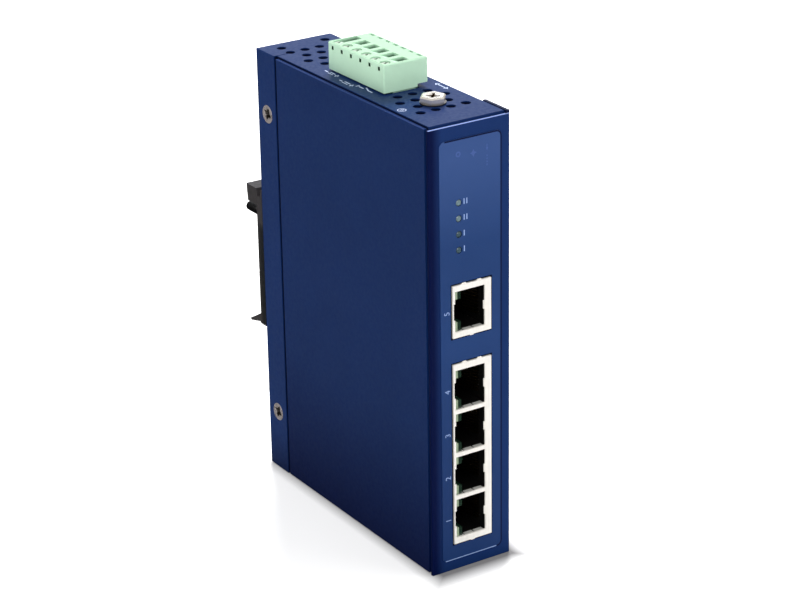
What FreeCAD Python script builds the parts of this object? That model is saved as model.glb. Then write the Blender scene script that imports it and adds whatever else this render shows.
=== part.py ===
import FreeCAD, Part
import math
import os
import Sketcher

# Network switch for a 35 mm mounting rail: one uplink socket, four sockets in a gang, a
# pluggable terminal block and a ground screw on top, and a sprung rail clip behind.
#
# The frame: X is the width, +X towards the board side. The sockets face -Y and the rail clip
# faces +Y. Z is up. The origin is the centre of the housing's bottom.

# Driving sizes, in millimetres and degrees
SIZES = {
    # Folded sheet housing
    "housing_width": 28.0,
    "housing_depth": 95.0,
    "housing_height": 141.0,
    "sheet": 1.0,
    "lap_gap": 0.1,
    "seam_gap": 0.2,
    "fold_radius": 0.3,
    "panel_fold_radius": 0.4,
    "panel_drop": 0.7,
    "panel_flange_inset": 1.1,
    "flange_length": 12.0,
    "strip_width": 10.7,
    "cover_lift": 0.4,
    "cover_front_gap": 1.0,
    "cover_rear_gap": 1.2,
    "cover_joggle": 1.4,
    "cover_flange_margin": 6.0,
    "relief_slit": 0.4,
    # Vent holes
    "vent_radius": 1.5,
    "vent_pitch": 5.2,
    "vent_row_share": 0.1618,
    "rear_vents_share": 0.2,
    "front_vents_share": 0.118,
    # Screws of the cover
    "cover_screw_inset": 5.5,
    "cover_screw_low": 20.0,
    "cover_screw_below_top": 20.0,
    "screw_radius": 1.45,
    "screw_length": 5.6,
    "sunk_head_radius": 2.9,
    "nut_radius": 3.0,
    "nut_thickness": 2.4,
    "hole_clearance": 0.15,
    "recess_width": 0.6,
    "recess_reach": 1.5,
    "recess_depth": 0.9,
    # Ground screw
    "ground_head_across_flats": 7.0,
    "ground_head_turn": 49.0,
    "ground_head_height": 1.9,
    "ground_head_crown": 0.45,
    "ground_dish_radius": 2.7,
    "ground_dish_depth": 0.4,
    "ground_recess_width": 0.8,
    "ground_recess_reach": 2.1,
    "ground_recess_depth": 1.3,
    "ground_washer_radius": 3.9,
    "ground_washer_thickness": 0.5,
    "ground_shank_radius": 1.95,
    "ground_shank_length": 6.0,
    # Rail clip
    "rail_width": 35.0,
    "rail_low": 51.5,
    "clip_plate": 3.3,
    "clip_below_rail": 3.5,
    "clip_hook_reach": 10.2,
    "clip_hook_fall": 3.9,
    "clip_hook_lip": 0.6,
    "clip_hook_root": 3.0,
    "clip_ear_reach": 9.4,
    "clip_ear_rake": 0.6,
    "clip_ear_height": 5.6,
    "clip_lift_room": 2.1,
    "clip_notch_depth": 2.4,
    "clip_notch_wall": 0.6,
    "clip_side_wall": 0.6,
    "spring_wire_radius": 0.9,
    "spring_bend_radius": 1.6,
    "spring_pivot_behind": 6.0,
    "spring_pivot_above": 3.0,
    "spring_room": 0.35,
    "spring_swing_room": 1.2,
    "spring_ledge": 1.7,
    "spring_foot_radius": 1.5,
    "spring_foot_from": 4.6,
    "spring_foot_length": 6.9,
    "spring_foot_drop": 2.75,
    "clip_screw_across": 8.0,
    "clip_screw_inset": 8.0,
    # Pluggable terminal block
    "pole_pitch": 5.08,
    "plug_width": 15.3,
    "plug_lift": 0.5,
    "plug_rise": 8.5,
    "plug_step_from": 4.0,
    "plug_step": 0.9,
    "plug_edge": 0.3,
    "plug_neck_left": 4.2,
    "plug_neck_right": 3.6,
    "plug_neck_depth": 8.0,
    "plug_neck_short": 0.5,
    "plug_hole_width": 3.3,
    "plug_hole_left": 0.3,
    "plug_hole_right": 2.0,
    "plug_hole_depth": 3.4,
    "plug_ramp_from": 2.9,
    "plug_ramp_fall": 0.8,
    "plug_rear_ramp_from": 6.4,
    "plug_rear_ramp_fall": 1.6,
    "plug_cage_width": 3.6,
    "plug_cage_height": 4.6,
    "plug_cage_wall": 0.5,
    "plug_socket_width": 2.2,
    "plug_sleeve_above": 1.0,
    "plug_screw_offset": 5.5,
    "plug_screw_radius": 1.45,
    "plug_screw_sunk": 0.4,
    "plug_screw_length": 5.0,
    "plug_test_hole": 1.2,
    "plug_test_below_top": 1.6,
    "plug_test_depth": 1.3,
    "plug_slot_offset": 6.4,
    "plug_slot_width": 0.9,
    "plug_slot_length": 2.3,
    "plug_slot_pitch": 4.2,
    "plug_slot_depth": 2.6,
    "header_wall": 1.1,
    "header_base": 3.6,
    "header_clearance": 0.2,
    "header_below_top": 0.3,
    "header_pin": 1.0,
    "header_pin_reach": 6.6,
    # Sockets
    "jack_centre": 0.26,
    "jack_height": 13.4,
    "jack_face_proud": 0.6,
    "jack_gap": 0.45,
    "jack_face_sheet": 0.5,
    "jack_shield_sheet": 0.3,
    "uplink_share": 0.1945,
    "uplink_width": 16.25,
    "uplink_depth": 21.0,
    "gang_low": 8.7,
    "gang_end": 16.6,
    "gang_depth": 25.0,
    "port_pitch": 13.97,
    "port_width": 12.7,
    "port_left_wall": 0.75,
    "port_right_wall": 2.2,
    "port_depth": 14.0,
    "latch_width": 5.1,
    "lamp_width": 2.8,
    "lamp_height": 2.45,
    "lamp_set_back": 0.3,
    "lamp_length": 7.0,
    "contact_pitch": 1.016,
    "contact_width": 0.45,
    "contact_thickness": 0.3,
    "contact_from": 3.0,
    "contact_rise": 2.6,
    "contact_run": 8.5,
    "tab_reach": 0.4,
    "tab_length": 2.6,
    "lip_depth": 1.4,
    "lip_notch": 0.55,
    "lip_inset": 0.5,
    "finger_height": 0.4,
    "finger_length": 2.2,
    # Front label and status lights
    "label_width": 21.4,
    "label_low": 3.3,
    "label_below_top": 4.9,
    "label_thickness": 0.2,
    "label_corner": 1.8,
    "status_pitch": 4.8,
    "status_share": 0.2469,
    "status_offset": 4.15,
    "status_radius": 0.9,
    "status_proud": 0.1,
    "pipe_holder_depth": 6.5,
    "pipe_holder_margin": 2.6,
    # Circuit board
    "board_thickness": 1.6,
    "board_front_gap": 1.2,
    "board_nut_room": 1.2,
    "board_low": 3.5,
    "board_below_top": 3.5,
    "board_hole_radius": 1.4,
    "board_hole_inset": 5.0,
    "standoff_radius": 2.6,
    "standoff_bore": 1.25,
    "board_screw_radius": 1.2,
    "board_screw_head": 2.4,
    "board_screw_head_height": 1.7,
    # Parts on the circuit board
    "part_clearance": 1.0,
    "switch_chip_share": 0.535,
    "switch_chip_height": 1.6,
    "heat_sink_share": 0.588,
    "heat_sink_base": 2.0,
    "heat_sink_height": 9.0,
    "heat_sink_fin": 1.2,
    "module_length": 9.6,
    "module_width": 12.0,
    "module_height": 6.0,
    "inductor_size": 12.0,
    "inductor_height": 7.0,
    "capacitor_radius": 4.0,
    "capacitor_height": 11.0,
    "relay_length": 15.0,
    "relay_width": 10.0,
    "relay_height": 11.0,
    "fuse_length": 9.0,
    "fuse_width": 4.0,
    "fuse_height": 4.0,
    "crystal_length": 11.0,
    "crystal_width": 4.6,
    "crystal_height": 3.6,
    "chip_length": 8.0,
    "chip_width": 5.0,
    "chip_height": 1.5,
}

# How many there are of what repeats
POLES = 6
PORTS_IN_GANG = 4
CONTACTS = 8
STATUS_LIGHTS = 4
PLUG_SLOTS = 7
HEAT_SINK_FINS = 6

Vector = FreeCAD.Vector
doc = FreeCAD.newDocument("rail_switch")
sheet = doc.addObject("Spreadsheet::Sheet", "size")
for row, (alias, value) in enumerate(SIZES.items(), start=1):
    sheet.set(f"A{row}", str(value))
    sheet.setAlias(f"A{row}", alias)
doc.recompute()


class Size:
    """A length: its present value, and the formula that binds it to the sheet."""

    def __init__(self, value, formula):
        self.value = float(value)
        self.formula = formula

    def __add__(self, other):
        other = as_size(other)
        return Size(self.value + other.value, f"({self.formula} + {other.formula})")

    def __radd__(self, other):
        return as_size(other) + self

    def __sub__(self, other):
        other = as_size(other)
        return Size(self.value - other.value, f"({self.formula} - {other.formula})")

    def __rsub__(self, other):
        return as_size(other) - self

    def __mul__(self, factor):
        factor = as_size(factor)
        return Size(self.value * factor.value, f"({self.formula} * {factor.formula})")

    __rmul__ = __mul__

    def __truediv__(self, divisor):
        return Size(self.value / divisor, f"({self.formula} / {float(divisor)})")

    def __neg__(self):
        return Size(-self.value, f"(0 - {self.formula})")


def as_size(number):
    """Return a size as it is, and a plain number as a size."""
    if isinstance(number, Size):
        return number
    return Size(number, f"({float(number)})")


class Sheet:
    """The driving sizes by name."""

    def __getattr__(self, alias):
        return Size(sheet.get(alias), f"size.{alias}")


S = Sheet()

# Sketch planes, and which way a sketch on each one faces along its own axis
PLANES = {"XY": "XY_Plane", "XZ": "XZ_Plane", "YZ": "YZ_Plane"}
FACING = {"XY": 1, "XZ": -1, "YZ": 1}
parts = []


def bind(thing, path, length):
    """Bind one property of an object to a size."""
    thing.setExpression(path, as_size(length).formula)


def new_body(label, kept=True):
    """Start a sub-part; one that isn't kept is only copied by others."""
    body = doc.addObject("PartDesign::Body", label)
    body.Label = label
    body.AllowCompound = True
    if kept:
        parts.append(body)
    return body


def origin_feature(body, role):
    """Return the body's own plane or axis of that role."""
    return [item for item in body.Origin.OriginFeatures if item.Role == role][0]


class Circle:
    """A round outline in a sketch."""

    def __init__(self, across, up, radius):
        self.across = as_size(across)
        self.up = as_size(up)
        self.radius = as_size(radius)


def rectangle(left, right, low, high):
    """Return the corners of a rectangle."""
    return [(left, low), (right, low), (right, high), (left, high)]


def pin_point(sketch, geometry, point, across, up):
    """Fix one point of a sketch at its distances from the origin."""
    for kind, length in (("DistanceX", across), ("DistanceY", up)):
        rule = Sketcher.Constraint(kind, -1, 1, geometry, point, length.value)
        name = f"{kind}_{geometry}_{point}"
        sketch.renameConstraint(sketch.addConstraint(rule), name)
        bind(sketch, f"Constraints.{name}", length)


def draw(sketch, outline):
    """Draw a circle, or a closed outline of straight lines, bound to its sizes."""
    first = sketch.GeometryCount
    if isinstance(outline, Circle):
        centre = Vector(outline.across.value, outline.up.value, 0)
        sketch.addGeometry(Part.Circle(centre, Vector(0, 0, 1), outline.radius.value), False)
        rule = Sketcher.Constraint("Radius", first, outline.radius.value)
        name = f"Radius_{first}"
        sketch.renameConstraint(sketch.addConstraint(rule), name)
        bind(sketch, f"Constraints.{name}", outline.radius)
        pin_point(sketch, first, 3, outline.across, outline.up)
        return
    corners = [(as_size(across), as_size(up)) for across, up in outline]
    points = [Vector(across.value, up.value, 0) for across, up in corners]
    count = len(points)
    lines = [Part.LineSegment(points[i], points[(i + 1) % count]) for i in range(count)]
    sketch.addGeometry(lines, False)
    rules = [
        Sketcher.Constraint("Coincident", first + i, 2, first + (i + 1) % count, 1)
        for i in range(count)
    ]
    sketch.addConstraint(rules)
    for index, (across, up) in enumerate(corners):
        pin_point(sketch, first + index, 1, across, up)


def sketch_on(body, plane, at, outlines):
    """Make a sketch on one of the body's planes, moved to a place along its axis."""
    sketch = body.newObject("Sketcher::SketchObject", f"{body.Name}_outline")
    sketch.AttachmentSupport = [(origin_feature(body, PLANES[plane]), "")]
    sketch.MapMode = "FlatFace"
    bind(sketch, "AttachmentOffset.Base.z", as_size(at) * FACING[plane])
    for outline in outlines:
        draw(sketch, outline)
    return sketch


def pad(body, plane, outlines, low, high, taper=None):
    """Add the outlines as solid from low to high along the plane's axis."""
    low = as_size(low)
    high = as_size(high)
    start = low if FACING[plane] > 0 else high
    feature = body.newObject("PartDesign::Pad", f"{body.Name}_pad")
    feature.Profile = sketch_on(body, plane, start, outlines)
    bind(feature, "Length", high - low)
    if taper is not None:
        bind(feature, "TaperAngle", taper)
    body.Tip = feature
    return feature


def cut(body, plane, outlines, low, high, taper=None, from_low=False):
    """Take the outlines away from low to high; from_low starts the cut at its low end."""
    low = as_size(low)
    high = as_size(high)
    feature = body.newObject("PartDesign::Pocket", f"{body.Name}_pocket")
    opens_at_low = FACING[plane] < 0
    start = low if (opens_at_low or from_low) else high
    feature.Profile = sketch_on(body, plane, start, outlines)
    feature.Reversed = from_low and not opens_at_low
    bind(feature, "Length", high - low)
    if taper is not None:
        bind(feature, "TaperAngle", taper)
    body.Tip = feature
    return feature


def turn(body, outline):
    """Revolve an outline of radius and height about the body's Z axis."""
    feature = body.newObject("PartDesign::Revolution", f"{body.Name}_turned")
    sketch = sketch_on(body, "XZ", 0, [outline])
    feature.Profile = sketch
    feature.ReferenceAxis = (sketch, ["V_Axis"])
    feature.Angle = 360
    body.Tip = feature
    return feature


def row_of(body, originals, axis, spacing, count):
    """Repeat features along an axis of the body."""
    feature = body.newObject("PartDesign::LinearPattern", f"{body.Name}_row")
    feature.Originals = originals
    feature.Direction = (origin_feature(body, axis), [""])
    feature.Mode = "Spacing"
    bind(feature, "Offset", spacing)
    feature.Occurrences = count
    body.Tip = feature
    return feature


def round_edges(body, radius, choose, kind="PartDesign::Fillet"):
    """Round, or chamfer, the edges of the body's shape that the test chooses."""
    doc.recompute()
    base = body.Tip
    names = [f"Edge{i}" for i, edge in enumerate(base.Shape.Edges, start=1) if choose(edge)]
    feature = body.newObject(kind, f"{body.Name}_edges")
    feature.Base = (base, names)
    bind(feature, "Radius" if kind.endswith("Fillet") else "Size", radius)
    body.Tip = feature
    return feature


def runs_along(edge, axis):
    """Tell whether a straight edge runs along X, Y or Z."""
    if not isinstance(edge.Curve, (Part.Line, Part.LineSegment)):
        return False
    direction = edge.tangentAt(edge.FirstParameter)
    return abs(getattr(direction, axis)) > 0.999


def at(edge, **places):
    """Tell whether the middle of an edge lies at the given coordinates."""
    middle = edge.CenterOfMass
    return all(abs(getattr(middle, axis) - as_size(place).value) < 0.01
               for axis, place in places.items())


def copies(label, source, places, rotation):
    """Make one sub-part of separate copies of a source body."""
    links = []
    for index, place in enumerate(places, start=1):
        link = doc.addObject("App::Link", f"{label}_{index}")
        link.LinkedObject = source
        link.Placement = FreeCAD.Placement(Vector(0, 0, 0), rotation)
        for axis, length in zip("xyz", place):
            bind(link, f"Placement.Base.{axis}", length)
        links.append(link)
    group = doc.addObject("Part::Compound", label)
    group.Label = label
    group.Links = links
    parts.append(group)
    return group


# Places that the pieces share
left = -S.housing_width / 2
right = S.housing_width / 2
front = -S.housing_depth / 2
rear = S.housing_depth / 2
top = S.housing_height
inner_top = top - S.sheet
chassis_left = left + S.sheet + S.lap_gap
chassis_right = right - S.sheet - S.lap_gap
chassis_front = front + S.sheet + S.seam_gap
strip_front = rear - S.strip_width
panel_back = front + S.sheet
panel_top = top - S.panel_drop
flange_left = left + S.panel_flange_inset

plug_half = S.pole_pitch * (POLES / 2)
plug_base = top + S.plug_lift
plug_top = plug_base + S.plug_rise
neck_half = plug_half - S.plug_neck_short
header_floor = plug_base - S.plug_neck_depth
header_low = header_floor - S.header_base
pole_ys = [S.pole_pitch * (i - (POLES - 1) / 2) for i in range(POLES)]

jack_left = S.jack_centre - S.jack_height / 2
jack_right = S.jack_centre + S.jack_height / 2
jack_face = front - S.jack_face_proud
board_left = jack_right
board_right = board_left + S.board_thickness
board_front = front + S.sheet + S.board_front_gap
board_rear = rear - S.sheet - S.nut_thickness - S.board_nut_room
board_top = top - S.board_below_top
gang_width = S.port_pitch * (PORTS_IN_GANG - 1) + S.gang_end
gang_top = S.gang_low + gang_width
status_span = S.status_pitch * (STATUS_LIGHTS - 1)
spare_height = top - gang_top - S.uplink_width - status_span
uplink_low = gang_top + spare_height * S.uplink_share
uplink_high = uplink_low + S.uplink_width
uplink_centre = uplink_low + S.uplink_width / 2
gang_centres = [S.gang_low + S.gang_end / 2 + S.port_pitch * i for i in range(PORTS_IN_GANG)]
status_x = S.jack_centre - S.status_offset
status_low = uplink_high + spare_height * S.status_share
status_zs = [status_low + S.status_pitch * i for i in range(STATUS_LIGHTS)]
holder_front = panel_back + S.seam_gap
holder_back = holder_front + S.pipe_holder_depth

cover_screw_y = rear - S.cover_screw_inset
cover_screw_zs = [S.cover_screw_low, top - S.cover_screw_below_top]
vent_room = rear - neck_half
vent_row = vent_room * S.vent_row_share
front_vents_from = neck_half + vent_room * S.front_vents_share
rear_vents_from = neck_half + vent_room * S.rear_vents_share
ground_y = -front_vents_from - 2 * vent_row
rail_high = S.rail_low + S.rail_width
clip_face = rear + S.clip_plate
clip_low = S.rail_low - S.clip_below_rail
ear_low = rail_high + S.clip_lift_room
ear_top = ear_low + S.clip_ear_height
pivot_y = rear + S.spring_pivot_behind
pivot_z = ear_low + S.spring_pivot_above
clip_screws = [
    (side * S.clip_screw_across, height)
    for side in (-1, 1)
    for height in (S.rail_low + S.clip_screw_inset, rail_high - S.clip_screw_inset)
]
standoffs = [
    (front + S.gang_depth + S.board_hole_inset, S.board_low + S.board_hole_inset),
    (board_rear - S.board_hole_inset, S.board_low + S.board_hole_inset),
    (holder_back + S.part_clearance + S.standoff_radius, board_top - S.board_hole_inset),
    (board_rear - S.board_hole_inset, board_top - S.board_hole_inset),
]


def vent_holes():
    """Return the vent holes behind and in front of the terminal block."""
    wide_row = [-1.5, -0.5, 0.5, 1.5]
    narrow_row = [-1, 0, 1]
    rows = [(narrow_row, 0), (wide_row, 1), (narrow_row, 2), (wide_row, 3), ([-1.5, 1.5], 4)]
    holes = []
    for columns, step in rows:
        y = rear_vents_from + step * vent_row
        holes += [Circle(S.vent_pitch * column, y, S.vent_radius) for column in columns]
    rows = [(narrow_row, 0), (wide_row, 1), ([-1, 1], 2), (wide_row, 3)]
    for columns, step in rows:
        y = -front_vents_from - step * vent_row
        holes += [Circle(S.vent_pitch * column, y, S.vent_radius) for column in columns]
    return holes


def floor_vents():
    """Return the two rows of vent holes in the bottom."""
    return [Circle(S.vent_pitch * column, side * rear_vents_from, S.vent_radius)
            for side in (-1, 1) for column in (-1.5, -0.5, 0.5, 1.5)]


def build_chassis():
    """Top, bottom, right side and rear wall in one folded sheet, with the left rear strip."""
    body = new_body("chassis")
    wrap = [
        (chassis_left, top), (chassis_right, top), (chassis_right, 0), (chassis_left, 0),
        (chassis_left, S.sheet), (chassis_right - S.sheet, S.sheet),
        (chassis_right - S.sheet, inner_top), (chassis_left, inner_top),
    ]
    pad(body, "XZ", [wrap], chassis_front, rear)
    pad(body, "XZ", [rectangle(left, chassis_right, 0, top)], rear - S.sheet, rear)
    lapped = left + 2 * S.sheet
    strip = [
        (left, 0), (lapped, 0), (lapped, S.sheet), (left + S.sheet, S.sheet),
        (left + S.sheet, inner_top), (lapped, inner_top), (lapped, top), (left, top),
    ]
    pad(body, "XZ", [strip], strip_front, rear)

    def is_fold(edge):
        along_depth = runs_along(edge, "y") and (
            at(edge, x=chassis_right, z=top) or at(edge, x=chassis_right, z=0)
            or at(edge, x=left, z=top) or at(edge, x=left, z=0))
        up = runs_along(edge, "z") and (
            at(edge, x=left, y=rear) or at(edge, x=chassis_right, y=rear))
        across = runs_along(edge, "x") and (at(edge, y=rear, z=top) or at(edge, y=rear, z=0))
        return along_depth or up or across

    round_edges(body, S.fold_radius, is_fold)
    cut(body, "XY", vent_holes(), inner_top, top)
    cut(body, "XY", floor_vents(), 0, S.sheet)
    ground_hole = Circle(0, ground_y, S.ground_shank_radius + S.hole_clearance)
    opening = rectangle(
        -S.plug_neck_left - S.header_clearance - S.header_wall - S.seam_gap,
        S.plug_neck_right + S.header_clearance + S.header_wall + S.seam_gap,
        -neck_half - S.seam_gap, neck_half + S.seam_gap)
    slit = rectangle(left, -1.5 * S.vent_pitch,
                     strip_front - S.relief_slit, strip_front)
    cut(body, "XY", [ground_hole], inner_top, top)
    cut(body, "XY", [opening], inner_top, top)
    cut(body, "XY", [slit], inner_top, top)
    holes = [Circle(cover_screw_y, z, S.sunk_head_radius + S.hole_clearance) for z in cover_screw_zs]
    cut(body, "YZ", holes, left, left + S.sheet, taper=as_size(-45), from_low=True)
    holes = [Circle(x, z, S.screw_radius + S.hole_clearance) for x, z in clip_screws]
    cut(body, "XZ", holes, rear - S.sheet, rear)


def build_front_panel():
    """The front panel, folded back on the right, with an inner flange behind the cover."""
    body = new_body("front_panel")
    flange_low = S.sheet + S.seam_gap
    pad(body, "XZ", [rectangle(left, right, 0, panel_top)], front, panel_back)
    pad(body, "XZ", [rectangle(right - S.sheet, right, 0, panel_top)], front, front + S.flange_length)
    left_flange = rectangle(flange_left, flange_left + S.sheet, flange_low, top - flange_low)
    pad(body, "XZ", [left_flange], panel_back, front + S.flange_length)
    round_edges(body, S.panel_fold_radius, lambda edge: runs_along(edge, "z") and (
        at(edge, x=left, y=front) or at(edge, x=right, y=front)))
    gap = S.jack_gap
    uplink = rectangle(jack_left - gap, jack_right + gap, uplink_low - gap, uplink_high + gap)
    gang = rectangle(jack_left - gap, jack_right + gap, S.gang_low - gap, gang_top + gap)
    cut(body, "XZ", [uplink, gang], front, panel_back)
    lights = [Circle(status_x, z, S.status_radius + S.hole_clearance) for z in status_zs]
    cut(body, "XZ", lights, front, panel_back)


def build_left_cover():
    """The flat left cover beside the top sheet; its rear edge steps in behind the strip."""
    body = new_body("left_cover")
    outer = left
    inner = left + S.sheet
    flange = inner + S.lap_gap
    edge = strip_front - S.cover_rear_gap
    flange_end = rear - S.sheet - S.seam_gap
    low = S.cover_lift
    high = panel_top
    start = panel_back + S.cover_front_gap
    profile = [
        (outer, start), (outer, edge), (flange, edge), (flange, flange_end),
        (flange + S.sheet, flange_end), (flange + S.sheet, edge - S.sheet),
        (inner, edge - S.cover_joggle - S.sheet), (inner, start),
    ]
    pad(body, "XY", [profile], low, high)
    trims = [
        rectangle(edge - S.cover_joggle - S.sheet, flange_end, low, low + S.cover_flange_margin),
        rectangle(edge - S.cover_joggle - S.sheet, flange_end, high - S.cover_flange_margin, high),
    ]
    cut(body, "YZ", trims, inner, flange + S.sheet)
    cut(body, "YZ", [rectangle(edge, flange_end, low, low + S.cover_flange_margin),
                     rectangle(edge, flange_end, high - S.cover_flange_margin, high)],
        outer, flange + S.sheet)
    depth_of_cone = S.sunk_head_radius - S.screw_radius
    hole = S.sunk_head_radius + S.hole_clearance - (flange - left)
    holes = [Circle(cover_screw_y, z, hole) for z in cover_screw_zs]
    cut(body, "YZ", holes, flange, left + depth_of_cone, taper=as_size(-45), from_low=True)
    holes = [Circle(cover_screw_y, z, S.screw_radius + S.hole_clearance) for z in cover_screw_zs]
    cut(body, "YZ", holes, flange, flange + S.sheet)


def cross_recess(width=S.recess_width, reach=S.recess_reach):
    """Return the outline of a cross recess about the origin."""
    arm = width / 2
    return [
        (-arm, -reach), (arm, -reach), (arm, -arm), (reach, -arm), (reach, arm), (arm, arm),
        (arm, reach), (-arm, reach), (-arm, arm), (-reach, arm), (-reach, -arm), (-arm, -arm),
    ]


def sunk_screw(label):
    """A countersunk screw standing on its tip: the head's face is at the origin."""
    body = new_body(label, kept=False)
    cone = S.sunk_head_radius - S.screw_radius
    turn(body, [
        (0, 0), (S.sunk_head_radius, 0), (S.screw_radius, -cone),
        (S.screw_radius, -S.screw_length), (0, -S.screw_length),
    ])
    cut(body, "XY", [cross_recess()], -S.recess_depth, 0)
    return body


def ring(label, outer, bore, thickness):
    """A plain ring on the origin, such as a pressed nut or a standoff."""
    body = new_body(label, kept=False)
    pad(body, "XY", [Circle(0, 0, outer), Circle(0, 0, bore)], 0, thickness)
    return body


def build_cover_fasteners():
    """The countersunk screws of the cover and the pressed nuts on its flange."""
    face_left = FreeCAD.Rotation(Vector(0, 1, 0), -90)
    places = [(left, cover_screw_y, z) for z in cover_screw_zs]
    screw = sunk_screw("sunk_screw")
    copies("cover_screws", screw, places, face_left)
    nut = ring("pressed_nut", S.nut_radius, S.screw_radius + S.hole_clearance / 3, S.nut_thickness)
    nut_x = left + 2 * S.sheet + S.lap_gap
    face_right = FreeCAD.Rotation(Vector(0, 1, 0), 90)
    copies("cover_nuts", nut, [(nut_x, cover_screw_y, z) for z in cover_screw_zs], face_right)
    face_rear = FreeCAD.Rotation(Vector(1, 0, 0), -90)
    copies("bracket_screws", screw, [(x, clip_face, z) for x, z in clip_screws], face_rear)
    face_front = FreeCAD.Rotation(Vector(1, 0, 0), 90)
    copies("bracket_nuts", nut, [(x, rear - S.sheet, z) for x, z in clip_screws], face_front)


def build_ground_terminal():
    """The hexagonal ground screw, its washer and the nut pressed in under the top."""
    screw = new_body("ground_screw")
    seat = top + S.ground_washer_thickness
    head_top = seat + S.ground_head_height
    corner = S.ground_head_across_flats / math.sqrt(3)
    hexagon = [(corner * math.cos(math.radians(60 * i)), corner * math.sin(math.radians(60 * i)))
               for i in range(6)]
    pad(screw, "XY", [hexagon], seat, head_top)
    round_edges(screw, S.ground_head_crown, lambda edge: at(edge, z=head_top),
                "PartDesign::Chamfer")
    pad(screw, "XY", [Circle(0, 0, S.ground_shank_radius)], top - S.ground_shank_length, seat)
    dish = screw.newObject("PartDesign::Groove", "ground_screw_dish")
    hollow = sketch_on(screw, "XZ", 0, [[
        (0, head_top + S.ground_dish_depth), (S.ground_dish_radius, head_top + S.ground_dish_depth),
        (S.ground_dish_radius, head_top), (0, head_top - S.ground_dish_depth)]])
    dish.Profile = hollow
    dish.ReferenceAxis = (hollow, ["V_Axis"])
    dish.Angle = 360
    screw.Tip = dish
    cross = cross_recess(S.ground_recess_width, S.ground_recess_reach)
    cut(screw, "XY", [cross], head_top - S.ground_recess_depth, head_top)
    bind(screw, "Placement.Base.y", ground_y)
    screw.setExpression("Placement.Rotation.Angle", "size.ground_head_turn * 1 deg")
    washer = new_body("ground_washer")
    turn(washer, [
        (S.ground_shank_radius + S.hole_clearance, top),
        (S.ground_washer_radius, top),
        (S.ground_washer_radius, top + S.ground_washer_thickness),
        (S.ground_shank_radius + S.hole_clearance, top + S.ground_washer_thickness),
    ])
    bind(washer, "Placement.Base.y", ground_y)
    nut = new_body("ground_nut")
    bore = S.ground_shank_radius + S.hole_clearance / 3
    pad(nut, "XY", [Circle(0, 0, S.nut_radius * 1.2), Circle(0, 0, bore)],
        inner_top - S.nut_thickness, inner_top)
    bind(nut, "Placement.Base.y", ground_y)


def build_rail_bracket():
    """The rail clip's profile: a plate with a sloping hook below and a hollow ear above."""
    body = new_body("rail_bracket")
    hook_tip = rear + S.clip_hook_reach
    profile = [
        (rear, clip_low), (clip_face, clip_low),
        (clip_face + S.clip_hook_lip, S.rail_low - S.clip_hook_root),
        (hook_tip - S.clip_hook_lip, S.rail_low - S.clip_hook_fall - S.clip_hook_lip),
        (hook_tip, S.rail_low - S.clip_hook_fall),
        (clip_face, S.rail_low), (clip_face, ear_low),
        (rear + S.clip_ear_reach - S.clip_ear_rake, ear_low),
        (rear + S.clip_ear_reach, ear_top), (clip_face, ear_top),
        (clip_face - S.clip_notch_wall, ear_top - S.clip_notch_depth),
        (rear + 2 * S.clip_notch_wall, ear_top - S.clip_notch_depth),
        (rear + S.clip_notch_wall, ear_top), (rear, ear_top),
    ]
    pad(body, "YZ", [profile], left, right)
    inside = right - S.clip_side_wall
    wire = S.spring_wire_radius
    room = S.spring_room
    chamber_front = pivot_y - wire - room
    chamber_rear = pivot_y + wire + room
    ledge = ear_low + S.spring_ledge
    chamber = rectangle(chamber_front, chamber_rear, ledge, pivot_z + wire + room)
    cut(body, "YZ", [chamber], -inside, inside)
    slot = rectangle(chamber_front, chamber_rear + S.spring_swing_room, ear_low, pivot_z + wire + room)
    slot_inner = inside - 2 * (wire + room) - S.spring_foot_radius / 2
    cut(body, "YZ", [slot], slot_inner, inside)
    cut(body, "YZ", [slot], -inside, -slot_inner)
    heads = [Circle(x, z, S.sunk_head_radius + S.hole_clearance) for x, z in clip_screws]
    cone = S.sunk_head_radius - S.screw_radius
    sunk = cut(body, "XZ", heads, clip_face - cone, clip_face, taper=as_size(-45))
    bind(sunk.Profile[0], "AttachmentOffset.Base.z", -clip_face)
    sunk.Reversed = True
    shanks = [Circle(x, z, S.screw_radius + S.hole_clearance) for x, z in clip_screws]
    cut(body, "XZ", shanks, rear, clip_face)


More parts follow.
